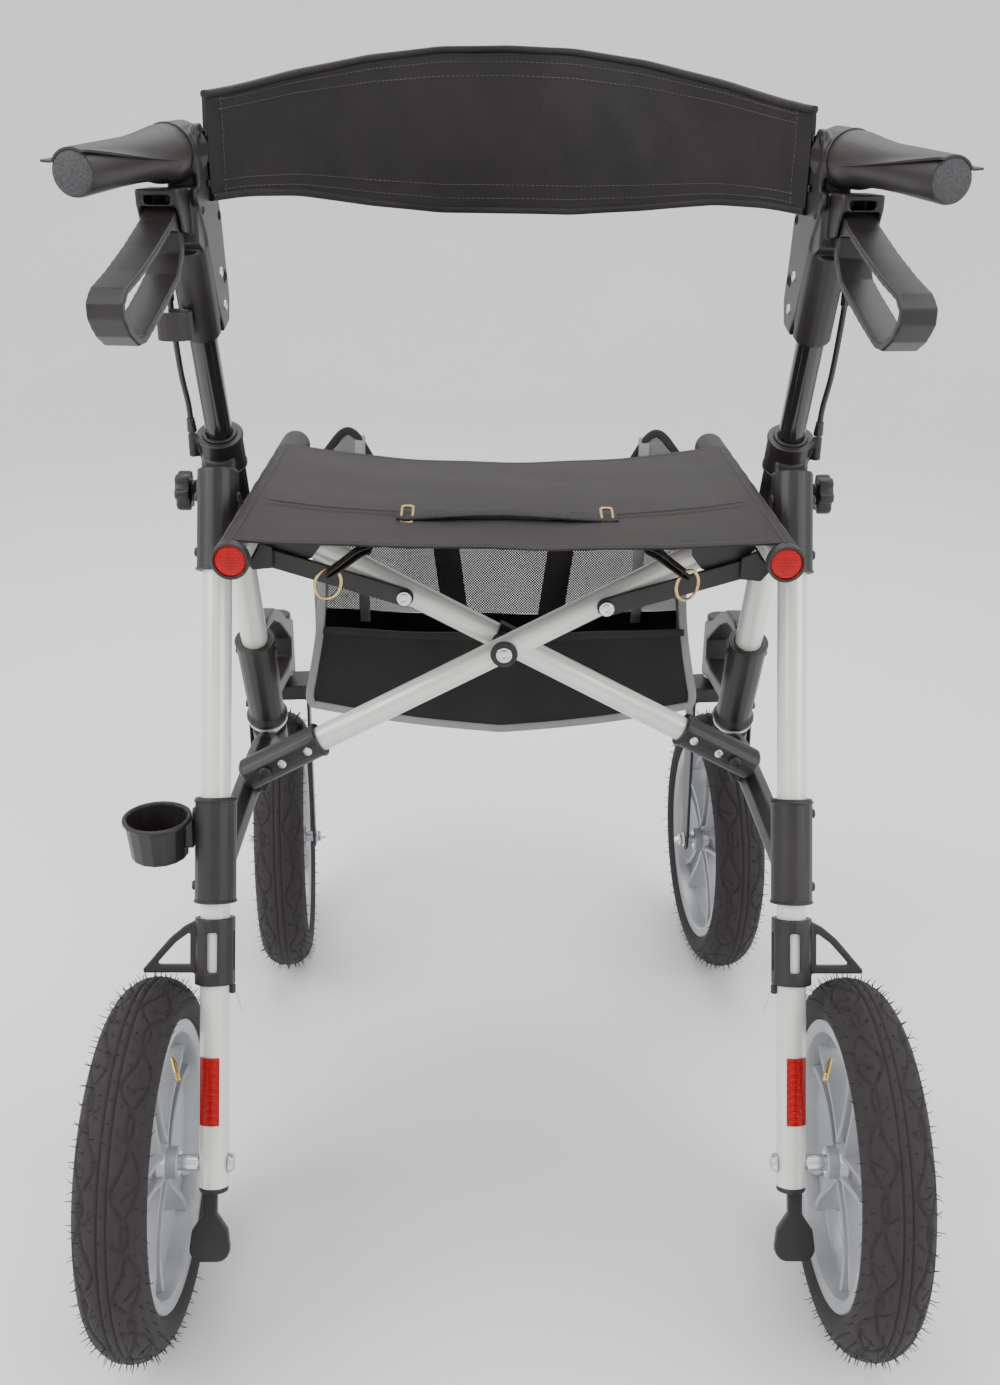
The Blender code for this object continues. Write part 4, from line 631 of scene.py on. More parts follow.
def moulded(
    node: str, finish: Finish, body: str, voxel: float = 0.0013, passes: int = 4
) -> bpy.types.Object:
    """A moulding with soft edges: its solid is remeshed in small cells and its points are eased.

    Args:
        node: The solid that it copies and replaces.
        finish: Its finish.
        body: The body it rides on.
        voxel: The cell size.
        passes: How often the points are eased.

    Returns:
        The finished moulding.
    """
    source = bpy.data.objects[node]
    mesh = source.data.copy()
    shape = bmesh.new()
    shape.from_mesh(mesh)
    bmesh.ops.remove_doubles(shape, verts=shape.verts, dist=1e-5)
    shape.to_mesh(mesh)
    shape.free()
    helper = bpy.data.objects.new(f"{node}_helper", mesh)
    bpy.context.scene.collection.objects.link(helper)
    cells = helper.modifiers.new("Remesh", "REMESH")
    cells.mode = "VOXEL"
    cells.voxel_size = voxel
    ease = helper.modifiers.new("Smooth", "SMOOTH")
    ease.factor = 0.5
    ease.iterations = passes
    graph = bpy.context.evaluated_depsgraph_get()
    finished = bpy.data.meshes.new_from_object(helper.evaluated_get(graph))
    bpy.data.objects.remove(helper, do_unlink=True)
    return dress(f"{node}_moulding", finished, finish, body, (node,), 70)


def screw_head(
    centre: Array, axis: Array, radius: float = 0.0042, height: float = 0.0022, steps: int = 28
) -> Surface:
    """A pan-head screw with a hexagonal recess, turned from its rim inwards to the recess's floor."""
    profile = [
        (radius, -0.001), (radius, height * 0.35), (radius * 0.93, height * 0.75), (radius * 0.72, height),
        (radius * 0.48, height), (radius * 0.42, height * 0.30), (0, height * 0.30),
    ]
    return lathe(profile, centre, axis, steps)


def washer(centre: Array, axis: Array, outer: float, inner: float, thickness: float) -> Surface:
    """A flat ring with eased rims."""
    ease = thickness * 0.25
    profile = [
        (inner, 0), (outer - ease, 0), (outer, ease), (outer, thickness - ease), (outer - ease, thickness),
        (inner, thickness), (inner, 0),
    ]
    return lathe(profile, centre, axis, 36)


# Wheels


@dataclass
class Wheel:
    """A 12.5 inch wheel: a treaded air tyre, a cast five-spoke rim, its hub and its valve."""

    tag: str
    place: str
    centre: tuple[float, float, float]
    turn: float = 0.0
    radius: float = WHEEL_RADIUS
    width: float = 0.057
    bead: float = 0.1175
    rim_width: float = 0.047
    hub_radius: float = 0.018
    hub_length: float = HUB_LENGTH
    bore: float = 0.0044
    lugs: int = 24

    @property
    def body(self) -> str:
        """The body that the wheel turns with."""
        return f"{self.place}_wheel_{self.tag}"

    def axes(self) -> tuple[Array, Array, Array]:
        """The axle's direction, the way it rolls, and up."""
        axle = np.array([math.cos(self.turn), math.sin(self.turn), 0.0])
        return axle, np.array([-axle[1], axle[0], 0.0]), Z_AXIS

    def around(self, angle: Array, radius: Array, offset: Array) -> Array:
        """Points at an angle round the wheel, a radius from its axle and an offset along it."""
        axle, ahead, up = self.axes()
        spin = np.cos(angle)[..., None] * ahead + np.sin(angle)[..., None] * up
        return np.asarray(self.centre) + radius[..., None] * spin + offset[..., None] * axle

    def tread(self, angle: Array, across_crown: Array) -> Array:
        """The depth of the tread's grooves.

        Two straight grooves run close beside the crown. Two waves in opposite phase cross on each shoulder
        and leave leaf-shaped islands with a short vein each. A groove is a narrow bell-shaped valley.

        Args:
            angle: The angle round the wheel.
            across_crown: The distance over the surface from the crown's middle.

        Returns:
            The depth in metres.
        """
        side = np.sign(across_crown)
        away = np.abs(across_crown)
        phase = angle * self.lugs / 2 + side * 0.8
        bell = lambda gap, width: np.exp(-((gap / width) ** 4))
        depth = 0.0018 * bell(away - 0.0036, 0.0013)
        outer = 0.0148 + 0.0062 * np.sin(phase) + 0.0018 * np.sin(2 * phase + 0.7)
        inner = 0.0225 - 0.0072 * np.sin(phase + 0.5)
        depth = np.maximum(depth, 0.0018 * bell(away - outer, 0.0015))
        depth = np.maximum(depth, 0.0017 * bell(away - inner, 0.0015))
        share = (phase / math.tau) % 1.0
        vein = bell((share - 0.28) * 0.080 - (away - 0.012) * 0.7, 0.0012) * (away > 0.0075) * (away < 0.020)
        notch = bell((share - 0.78) * 0.080 + (away - 0.021) * 0.6, 0.0013) * (away > 0.014) * (away < 0.029)
        return np.maximum(depth, 0.0014 * np.maximum(vein, notch))

    def tyre(self) -> None:
        """The tyre: radius = shoulder + crown * sin a, less the tread, and offset = half width * cos a."""
        steps, count = ((900, 62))
        shoulder = self.bead + 0.0125
        crown, half = self.radius - shoulder, self.width / 2
        turn = np.linspace(0, math.tau, steps, endpoint=False)[:, None]
        a = np.linspace(0, math.pi, count)[None, :]
        arc = np.cumsum(np.concatenate((
            [[0.0]], np.hypot(np.diff(crown * np.sin(a), axis=1), np.diff(half * np.cos(a), axis=1))
        ), axis=1), axis=1)
        arc = arc - arc[:, -1:] / 2
        fade = np.clip((np.sin(a) - 0.10) / 0.15, 0, 1)
        depth = self.tread(turn, arc) * fade
        normal_r, normal_o = np.sin(a) / crown, np.cos(a) / half
        size = np.hypot(normal_r, normal_o)
        radius = shoulder + crown * np.sin(a) - depth * normal_r / size
        offset = half * np.cos(a) - depth * normal_o / size + 0 * turn
        line = 0.0004 * (np.abs(a - 0.14) < 0.05) + 0.0004 * (np.abs(a - math.pi + 0.14) < 0.05)
        offset = offset + np.sign(np.cos(a)) * line
        bead = np.array([
            (shoulder - 0.004, -half + 0.0015), (shoulder - 0.009, -half + 0.006),
            (self.bead, -half + 0.0095),
            (self.bead, half - 0.0095), (shoulder - 0.009, half - 0.006), (shoulder - 0.004, half - 0.0015),
        ])
        ring = np.ones_like(turn)
        radius = np.concatenate((radius, ring * bead[:, 0]), axis=1)
        offset = np.concatenate((offset, ring * bead[:, 1]), axis=1)
        skin = grid(self.around(turn + 0 * radius, radius, offset), wrap_u=True, wrap_v=True)
        make(
            f"{self.place}_tread_{self.tag}", [skin], RUBBER, self.body,
            (f"{self.place}_tyre_{self.tag}",), 60,
        )

    def hairs(self) -> None:
        """Moulding whiskers: thin tapered spikes that leave the tread along its normal and bend a little."""
        chance = np.random.default_rng(len(self.place) * 7 + ord(self.tag))
        rows, each = 9, 58
        a = np.repeat(np.linspace(0.30, math.pi - 0.30, rows), each) + chance.normal(0, 0.03, rows * each)
        turn = np.tile(np.linspace(0, math.tau, each, endpoint=False), rows)
        turn = turn + np.repeat(np.arange(rows) * 0.071, each) + chance.normal(0, 0.012, rows * each)
        shoulder = self.bead + 0.0125
        crown, half = self.radius - shoulder, self.width / 2
        base = self.around(turn, shoulder + crown * np.sin(a) - 0.0005, half * np.cos(a))
        length = chance.uniform(0.0034, 0.0084, rows * each)
        bend = chance.normal(0, 0.016, rows * each)
        middle = self.around(
            turn + bend * 0.3, shoulder + (crown + length * 0.55) * np.sin(a),
            (half + length * 0.55) * np.cos(a)
        )
        tip = self.around(
            turn + bend, shoulder + (crown + length * 0.94) * np.sin(a), (half + length * 0.94) * np.cos(a)
        )
        keep = (tip[:, 2] > 0.003) & (middle[:, 2] > 0.003)
        rings = np.stack((base[keep], middle[keep], tip[keep]), 1)
        along = unit(rings[:, 2] - rings[:, 0])
        side = unit(np.cross(along, Z_AXIS + 0.01))
        other = np.cross(along, side)
        thick = np.array([0.00055, 0.00042, 0.00016])[None, :, None, None]
        turns = np.arange(4) * math.tau / 4
        ring = np.cos(turns)[None, :, None] * side[:, None] + np.sin(turns)[None, :, None] * other[:, None]
        points = rings[:, :, None] + thick * ring[:, None]
        start = (np.arange(len(rings)) * 12)[:, None, None]
        k = np.arange(4)
        quads = np.stack((k, (k + 1) % 4, 4 + (k + 1) % 4, 4 + k), -1)
        pattern = np.concatenate((quads, quads + 4, [[3, 2, 1, 0], [8, 9, 10, 11]]))
        faces = (start + pattern).reshape(-1, 4).tolist()
        make(
            f"{self.place}_whiskers_{self.tag}", [Surface(points.reshape(-1, 3), faces)], RUBBER, self.body,
        )

    def rim(self) -> None:
        """The rim: a turned channel and hub joined by five tapering spokes with raised edges."""
        axle, _, _ = self.axes()
        half, seat = self.rim_width / 2, self.bead - 0.001
        lip = self.bead + 0.0035
        channel = [
            (lip - 0.001, half), (lip, half - 0.001), (lip - 0.001, half - 0.002), (seat, half - 0.003),
            (seat, 0.003 - half), (lip - 0.001, 0.002 - half), (lip, 0.001 - half), (lip - 0.001, -half),
            (seat - 0.004, -half), (seat - 0.007, 0.002 - half), (seat - 0.0085, 0.006 - half),
            (seat - 0.0095, -0.006), (seat - 0.0120, -0.004), (seat - 0.0120, 0.004), (seat - 0.0095, 0.006),
            (seat - 0.0085, half - 0.006), (seat - 0.007, half - 0.002), (seat - 0.004, half),
            (lip - 0.001, half),
        ]
        reach = self.hub_length / 2
        hub = [
            (self.bore, -reach), (0.0125, -reach), (0.0135, 0.001 - reach), (0.0140, 0.010 - reach),
            (self.hub_radius, 0.016 - reach), (self.hub_radius, reach - 0.016), (0.0140, reach - 0.010),
            (0.0135, reach - 0.001), (0.0125, reach), (self.bore, reach), (self.bore, -reach),
        ]
        surfaces = [lathe(channel, self.centre, axle, 120), lathe(hub, self.centre, axle, 56)]
        section = np.array([
            (0.0135, 0.0130), (0.0100, 0.0135), (0.0080, 0.0125), (0.0072, 0.0060), (-0.0072, 0.0060),
            (-0.0080, 0.0125), (-0.0100, 0.0135), (-0.0135, 0.0130), (-0.0140, 0.0), (-0.0135, -0.0130),
            (-0.0100, -0.0135), (-0.0080, -0.0125), (-0.0072, -0.0060), (0.0072, -0.0060),
            (0.0080, -0.0125), (0.0100, -0.0135), (0.0135, -0.0130), (0.0140, 0.0),
        ])
        share = np.linspace(0, 1, 14)
        wide = 0.86 + 0.30 * np.abs(share - 0.35) ** 1.5 + 0.55 * np.clip(share - 0.82, 0, 1) / 0.18
        deep = 1.05 - 0.25 * np.sin(math.pi * share)
        for index in range(5):
            angle = np.full(14, math.tau * index / 5 + math.pi / 2)
            path = self.around(angle, 0.012 + share * (seat - 0.010 - 0.012), 0 * share)
            surfaces.append(sweep(section, path, axle, np.stack((wide, deep), -1)))
        make(
            f"{self.place}_cast_rim_{self.tag}", surfaces, RIM_PAINT, self.body,
            (f"{self.place}_rim_{self.tag}",), 30,
        )
        cap = [
            (self.bore, reach - 0.0004), (0.0090, reach - 0.0004), (0.0098, reach + 0.0001),
            (self.bore, reach + 0.0001), (self.bore, reach - 0.0004)
        ]
        caps = [lathe(cap, self.centre, axle, 36), lathe(cap, self.centre, -axle, 36)]
        make(f"{self.place}_bearings_{self.tag}", caps, ZINC, self.body)

    def valve(self) -> None:
        """The valve: a bent brass stem from the rim with a ridged cap."""
        angle = np.array([0.45 if self.place == "rear" else 2.5])
        start = self.around(angle, np.array([self.bead - 0.010]), np.array([0.0]))[0]
        end = self.around(
            angle, np.array([self.bead - 0.036]), np.array([0.010 if self.tag == "l" else -0.010])
        )[0]
        path = smooth([start, start * 0.45 + end * 0.55, end], 9)
        stem = sweep(circle(0.0030, 14), path, X_AXIS)
        outward = unit(end - start)
        thread = [(0.0026 + 0.0003 * (k % 2), 0.0008 * k) for k in range(9)]
        thread = [(0.0, 0.0), *thread, (0.0022, 0.0074), (0, 0.0076)]
        make(
            f"{self.place}_valve_{self.tag}", [stem, lathe(thread, end, outward, 20)], BRASS, self.body,
        )

    def build(self) -> None:
        """Builds the whole wheel."""
        self.tyre()
        self.hairs()
        self.rim()
        self.valve()


@dataclass
class Caster:
    """A front wheel's fork on its swivel, with bolts, blade edges and a bearing cup."""

    tag: str
    side: int
    turn: float = math.radians(4.7)
    steering_x: float = 0.266
    steering_y: float = 0.3235
    trail: float = 0.035

    @property
    def centre(self) -> tuple[float, float, float]:
        """The wheel's centre, turned about the steering axis."""
        return (
            self.side * self.steering_x + self.trail * math.sin(self.turn),
            self.steering_y - self.trail * math.cos(self.turn),
            WHEEL_RADIUS,
        )

    def build(self) -> None:
        """Builds the fork's metalwork and the wheel in it."""
        body = f"caster_{self.tag}"
        moulded(f"caster_fork_{self.tag}", CASTING, body, 0.0014, 3)
        top = np.array([self.side * self.steering_x, self.steering_y, 0.3622])
        cup = [(0.0082, 0), (0.0165, 0), (0.0168, 0.0008), (0.0160, 0.0026), (0.0082, 0.0028), (0.0082, 0)]
        make(f"steering_race_{self.tag}", [lathe(cup, top, Z_AXIS, 40)], ZINC, body)
        axle = np.array([math.cos(self.turn), math.sin(self.turn), 0.0])
        centre = np.asarray(self.centre)
        surfaces = []
        for towards in (-1, 1):
            face = centre + axle * towards * 0.0367
            surfaces.append(washer(face, axle * towards, 0.0088, 0.0042, 0.0012))
            nut = [
                (0.0, 0.0012), (0.0066, 0.0012), (0.0072, 0.0020), (0.0072, 0.0056), (0.0064, 0.0064),
                (0.0042, 0.0064), (0.0040, 0.0105), (0.0034, 0.0114), (0, 0.0114)
            ]
            surfaces.append(lathe(nut, face, axle * towards, 6 if towards == -self.side else 36))
            surfaces.append(
                lathe(
                    [(0.0041, -0.0115), (0.0062, -0.0115), (0.0062, 0), (0.0041, 0), (0.0041, -0.0115)], face,
                    axle * towards, 28
                )
            )
        surfaces.append(lathe([(0, -0.036), (0.004, -0.036), (0.004, 0.036), (0, 0.036)], centre, axle, 24))
        make(f"front_bolt_{self.tag}", surfaces, ZINC, body, (f"front_axle_{self.tag}",))
        wheel = Wheel(self.tag, "front", self.centre, self.turn)
        wheel.build()


# Side frames


@dataclass
class SideFrame:
    """One side frame: rear post, front leg, their castings, the strut, the brake and their fittings."""

    tag: str
    side: int
    frame_x: float = 0.249
    post_lean: float = math.radians(23.3)
    leg_lean: float = math.radians(24.8)
    apex: float = 0.741
    post_radius: float = 0.0127
    leg_radius: float = 0.0133

    @property
    def body(self) -> str:
        """The body of this side frame."""
        return "left_frame" if self.side < 0 else "right_frame"

    def post(self, height: float) -> Array:
        """The rear post's centre at a height."""
        ahead = (height - WHEEL_RADIUS) * math.tan(self.post_lean)
        return np.array([self.side * self.frame_x, REAR_AXLE_Y + ahead, height])

    def leg(self, height: float) -> Array:
        """The front leg's centre at a height."""
        apex = self.post(self.apex)
        return np.array([apex[0], apex[1] - (height - self.apex) * math.tan(self.leg_lean), height])

    @property
    def post_way(self) -> Array:
        """The direction up the rear post."""
        return np.array([0.0, math.sin(self.post_lean), math.cos(self.post_lean)])

    @property
    def leg_way(self) -> Array:
        """The direction up the front leg."""
        return np.array([0.0, -math.sin(self.leg_lean), math.cos(self.leg_lean)])

    @property
    def outward(self) -> Array:
        """The direction away from the other side frame."""
        return self.side * X_AXIS

    def tubes(self) -> None:
        """The two painted tubes."""
        make(
            f"post_tube_{self.tag}", [tube(self.post(0.139), self.post(0.702), self.post_radius)], PEARL,
            self.body,
            (f"rear_post_{self.tag}",),
        )
        make(
            f"leg_tube_{self.tag}", [tube(self.leg(0.373), self.leg(0.721), self.leg_radius)], PEARL,
            self.body,
            (f"front_leg_{self.tag}",),
        )
        mouth = [
            (0.0118, 0.0), (0.0133, 0.0), (0.0133, 0.0130), (0.0150, 0.0132), (0.0150, 0.0142),
            (0.0144, 0.0148), (0.0121, 0.0148), (0.0118, 0.0142), (0.0118, 0.0)
        ]
        make(
            f"leg_bushing_{self.tag}", [lathe(mouth, self.leg(0.7212), self.leg_way, 48)], CASTING, self.body,
        )

    def castings(self) -> None:
        """The moulded castings, softened, with raised collars where tubes leave them."""
        for node, voxel in (
            (f"frame_socket_{self.tag}", 0.0013), (f"side_strut_{self.tag}", 0.0013),
            (f"caster_bracket_{self.tag}", 0.0013), (f"tip_pedal_{self.tag}", 0.0010),
        ):
            moulded(node, CASTING, self.body, voxel, 4)
        rings = []
        for place, way, radius, thick in (
            (self.leg(0.7315), self.leg_way, 0.0204, 0.0030), (self.leg(0.704), self.leg_way, 0.0203, 0.0022),
            (self.post(0.6265), self.post_way, 0.0186, 0.0026),
            (self.post(0.364), self.post_way, 0.0187, 0.0024),
            (self.post(0.4432), self.post_way, 0.0187, 0.0024),
            (self.leg(0.5005), self.leg_way, 0.0203, 0.0024),
        ):
            inner = 0.0138 if way is not self.post_way else 0.0131
            rings.append(washer(place - way * thick / 2, way, radius, inner + 0.0008, thick))
        make(f"casting_collars_{self.tag}", rings, CASTING, self.body)
        flare = self.leg(0.3945)
        ring = [
            (0.0140, -0.0050), (0.0195, -0.0040), (0.0206, -0.0022), (0.0208, 0.0006), (0.0140, 0.0012),
            (0.0140, -0.0050)
        ]
        make(
            f"pearl_ferrule_{self.tag}", [lathe(ring, flare, self.leg_way, 48)], PEARL, self.body
        )

    def screws(self) -> None:
        """Visible fasteners: recessed screws in the castings and the axle's pan head on the post."""
        dark, bright = [], []
        for place, reach in (
            (self.post(0.434), 0.0178), (self.post(0.376), 0.0178), (self.post(0.684), 0.0174),
            (self.post(0.640), 0.0174), (self.leg(0.488), 0.0184), (self.leg(0.414), 0.0184),
        ):
            dark.append(screw_head(place + self.outward * reach, self.outward))
        for place, reach in ((self.post(0.684), 0.0174), (self.leg(0.488), 0.0184)):
            dark.append(screw_head(place - self.outward * reach, -self.outward))
        inner = self.post(WHEEL_RADIUS) - self.outward * (self.post_radius + 0.0003)
        bright.append(washer(inner, -self.outward, 0.0086, 0.0042, 0.0012))
        bright.append(screw_head(inner - self.outward * 0.0012, -self.outward, 0.0074, 0.0034, 36))
        spacer_start = 0.262
        spacer_length = REAR_WHEEL_X - HUB_LENGTH / 2 - 0.0004 - spacer_start
        spacer = [
            (0.0041, 0), (0.0068, 0), (0.0070, 0.0003), (0.0070, spacer_length), (0.0041, spacer_length),
            (0.0041, 0)
        ]
        start = np.array([self.side * spacer_start, REAR_AXLE_Y, WHEEL_RADIUS])
        bright.append(lathe(spacer, start, self.outward, 36))
        bright.append(lathe([(0, 0), (0.004, 0), (0.004, 0.094), (0, 0.094)], inner, self.outward, 24))
        nut = [(0, 0), (0.0058, 0), (0.0065, 0.0008), (0.0065, 0.0028), (0.0055, 0.0034), (0, 0.0034)]
        bright.append(lathe(nut, np.array([self.side * 0.3291, REAR_AXLE_Y, WHEEL_RADIUS]), self.outward, 6))
        make(f"casting_screws_{self.tag}", dark, CASTING, self.body)
        make(f"rear_axle_bolt_{self.tag}", bright, ZINC, self.body, (f"rear_axle_{self.tag}",))

    def strip(self) -> None:
        """The red strip: a curved patch that hugs the post, with a thin raised border.

        Point = post centre + radius * (cos a * rear + sin a * outward), for a over 80 degrees.
        """
        height = np.linspace(0, 1, 30)
        angle = np.linspace(math.radians(-40), math.radians(40), 25) + self.side * math.radians(12)
        start, end = self.post(0.189), self.post(0.242)
        rear = unit(np.cross(self.post_way, X_AXIS))
        rear = rear if rear[1] < 0 else -rear
        way = np.cos(angle)[:, None] * rear + np.sin(angle)[:, None] * X_AXIS
        line = start + height[:, None] * (end - start)
        edge = np.maximum(
            np.abs(height[:, None] - 0.5) > 0.47, np.abs(np.linspace(-1, 1, 25))[None, :] > 0.90
        )
        radius = self.post_radius + 0.0009 + 0.0003 * edge
        outer = line[:, None] + radius[..., None] * way
        inner = line[:, None] + (self.post_radius + 0.0002) * way + 0 * radius[..., None]
        closed = np.concatenate((outer, inner[:, ::-1]), axis=1)
        make(
            f"red_strip_{self.tag}", [grid(closed, wrap_v=True, caps=True)], RED, self.body,
            (f"post_strip_{self.tag}",)
        )

    def knob(self) -> None:
        """The height knob: lobes of radius 16 + 2 cos 6a mm, domed, on a ridged neck."""
        place = self.leg(0.675)
        angle = np.linspace(0, math.tau, 144, endpoint=False)
        lobe = 0.0160 + 0.0022 * np.tanh(2.2 * np.cos(6 * angle))
        levels = np.array(
            [
                (0.0050, 0.80), (0.0056, 0.97), (0.0075, 1.0), (0.0150, 1.0), (0.0172, 0.96), (0.0180, 0.86),
                (0.0181, 0.62), (0.0172, 0.55), (0.0170, 0.0)
            ]
        )
        radius = levels[:, 1, None] * lobe
        spin = np.cos(angle)[:, None] * Y_AXIS + np.sin(angle)[:, None] * Z_AXIS
        face = self.side * (0.2775 + levels[:, 0])
        points = place * np.array([0, 1, 1]) + face[:, None, None] * X_AXIS + radius[..., None] * spin
        hand = grid(points, wrap_v=True)
        under = grid(np.stack((points[0], np.broadcast_to(points[0].mean(0), points[0].shape))), wrap_v=True)
        root = place * np.array([0, 1, 1]) + self.side * 0.2775 * X_AXIS
        neck = lathe(
            [
                (0, 0.0002), (0.0094, 0.0002), (0.0100, 0.0012), (0.0092, 0.0024), (0.0100, 0.0036),
                (0.0092, 0.0050), (0, 0.0056)
            ],
            root, self.outward, 40
        )
        make(
            f"star_knob_{self.tag}", [hand, under, neck], CASTING, f"knob_{self.tag}",
            (f"height_knob_{self.tag}",), 50,
        )

    def brake(self) -> None:
        """The brake sleeve with its wing, and the cable's crimped end below it."""
        moulded(f"brake_shoe_{self.tag}", CASTING, f"brake_{self.tag}", 0.0009, 3)
        start = self.post(0.297) - self.outward * 0.0150
        wire = smooth(
            [
                start, start + np.array([-self.side * 0.004, -0.001, -0.010]),
                start + np.array([-self.side * 0.0075, -0.004, -0.024])
            ],
            10
        )
        make(
            f"cable_end_{self.tag}", [sweep(circle(0.0008, 8), wire, X_AXIS)], ZINC, f"brake_{self.tag}",
        )
        clamp = lathe(
            [(0, 0), (0.0024, 0), (0.0028, 0.0006), (0.0028, 0.0066), (0.0020, 0.0078), (0, 0.0078)],
            start + self.post_way * 0.001, -self.post_way, 20
        )
        make(f"cable_clamp_{self.tag}", [clamp], CASTING, f"brake_{self.tag}")

    def build(self) -> None:
        """Builds the side frame and its wheels."""
        self.tubes()
        self.castings()
        self.screws()
        self.strip()
        self.knob()
        self.brake()
        Wheel(self.tag, "rear", (self.side * REAR_WHEEL_X, REAR_AXLE_Y, WHEEL_RADIUS)).build()
        Caster(self.tag, self.side).build()


@dataclass
class Handle:
    """One handle: its grooved tube, bracket casting, grip, brake lever and cable."""

    frame: SideFrame
    tube_radius: float = 0.0115
    low: float = 0.560
    high: float = 0.885
    route: tuple[tuple[float, float, float], ...] = (
        (0.2700, 0.1960, 0.8630), (0.2716, 0.2110, 0.8300), (0.2728, 0.2300, 0.7900),
        (0.2720, 0.2460, 0.7600),
        (0.2720, 0.2530, 0.7350),
    )

    @property
    def body(self) -> str:
        """The sliding body of this handle."""
        return f"handle_{self.frame.tag}"

    def post_tube(self) -> None:
        """The gloss tube: radius less a narrow valley at four angles, which are its long grooves."""
        f = self.frame
        start, end = f.leg(self.low), f.leg(self.high)
        side, up = across(end - start)
        angle = np.linspace(0, math.tau, 96, endpoint=False)
        groove = np.exp(-((((angle % (math.pi / 2)) - math.pi / 4) / 0.085) ** 4))
        radius = self.tube_radius - 0.0008 * groove
        outer = radius[:, None] * (np.cos(angle)[:, None] * side + np.sin(angle)[:, None] * up)
        inner = outer * 0.88
        rows = np.stack((start + outer, end + outer, end + inner, start + inner))
        make(
            f"handle_stem_{f.tag}", [grid(rows, wrap_u=True, wrap_v=True)], GLOSS_BLACK, self.body,
            (f"handle_tube_{f.tag}",), 30,
        )

    def grip_frame(self) -> tuple[Array, Array, Array, Array]:
        """The grip's far end, its direction to the hand, outboard and above."""
        s, splay, drop = self.frame.side, math.radians(15), math.radians(4)
        way = np.array(
            [s * math.sin(splay) * math.cos(drop), -math.cos(splay) * math.cos(drop), -math.sin(drop)]
        )
        outboard = unit(np.cross(way, Z_AXIS))
        outboard = outboard if outboard[0] * s > 0 else -outboard
        above = np.cross(outboard, way)
        above = above if above[2] > 0 else -above
        return np.array([s * 0.2555, fit_y(0.166), 0.9625]), way, outboard, above

    def castings(self) -> None:
        """Bracket and lever mouldings, the grip's end disc and collar."""
        tag = self.frame.tag
        moulded(f"handle_bracket_{tag}", CASTING, self.body, 0.0012, 4)
        moulded(f"brake_lever_{tag}", CASTING, f"lever_{tag}", 0.0009, 5)
        far, way, _, _ = self.grip_frame()
        disc = [(0, 0.0014), (0.0128, 0.0014), (0.0142, 0.0006), (0.0146, -0.0006), (0, -0.0010)]
        end = lathe(disc, far + way * 0.137, way, 56)
        collar = lathe(
            [(0.0190, -0.0012), (0.0214, -0.0010), (0.0218, 0.0000), (0.0214, 0.0010), (0.0190, 0.0012)], far,
            way, 56
        )
        make(f"grip_end_{tag}", [end], GRIP_END, self.body)
        make(f"grip_collar_{tag}", [collar], CASTING, self.body, closed=True)

    def grip(self) -> None:
        """The grip: a turned handle with a bell at its front, under a saddle that flares into a palm rest.

        A saddle point lies at (radius * cos a, radius * sin a) in the outboard and upward directions. The arc
        runs from 28 degrees, outboard, to an inner edge that climbs from 188 to 128 degrees towards the hand.
        Its outer edge runs on level, and its reach grows as the square of the share along the grip.
        """
        far, way, outboard, above = self.grip_frame()
        length = 0.137
        profile = [
            (0, 0.0004), (0.0200, 0.0004), (0.0205, 0.0012), (0.0205, 0.0150), (0.0198, 0.0205),
            (0.0178, 0.0290),
            (0.0164, 0.0380), (0.0156, 0.0560), (0.0153, 0.0820), (0.0156, 0.1100), (0.0158, 0.1340),
            (0.0152, 0.1368), (0, 0.1370),
        ]
        body = lathe(profile, far, way, 72)
        share = np.linspace(0, 1, 40)
        inner_edge = np.radians(188 - 60 * share**1.2)
        turns = np.linspace(0, 1, 34)
        angle = np.radians(28) + turns[None] * (inner_edge[:, None] - np.radians(28))
        swell = 0.0166 + 0.0030 * np.clip(1 - share / 0.35, 0, 1) ** 1.5
        lip = 0.0024 * np.clip((turns - 0.86) / 0.14, 0, 1) ** 2
        radius = swell[:, None] + lip[None] * (0.4 + 0.6 * share[:, None])
        out = radius * np.cos(angle)
        high = radius * np.sin(angle)
        reach = np.linspace(1, 0, 9)[:-1]
        ledge_out = out[:, :1] + (0.0010 + 0.0068 * share**2)[:, None] * reach[None]
        ledge_high = high[:, :1] + 0.0006 * reach[None] ** 2
        out = np.concatenate((ledge_out, out), axis=1)
        high = np.concatenate((ledge_high, high), axis=1)
        line = far + (0.0245 + share[:, None] * (length - 0.0240)) * way
        top = line[:, None] + out[..., None] * outboard + high[..., None] * above
        thick = 0.0016
        low = top - thick * normals_of(top, above)
        shell = grid(np.concatenate((top, low[:, ::-1]), axis=1), wrap_v=True, caps=True)
        make(
            f"palm_grip_{self.frame.tag}", [body, shell], GRIP, self.body,
            (f"grip_{self.frame.tag}",), 40
        )

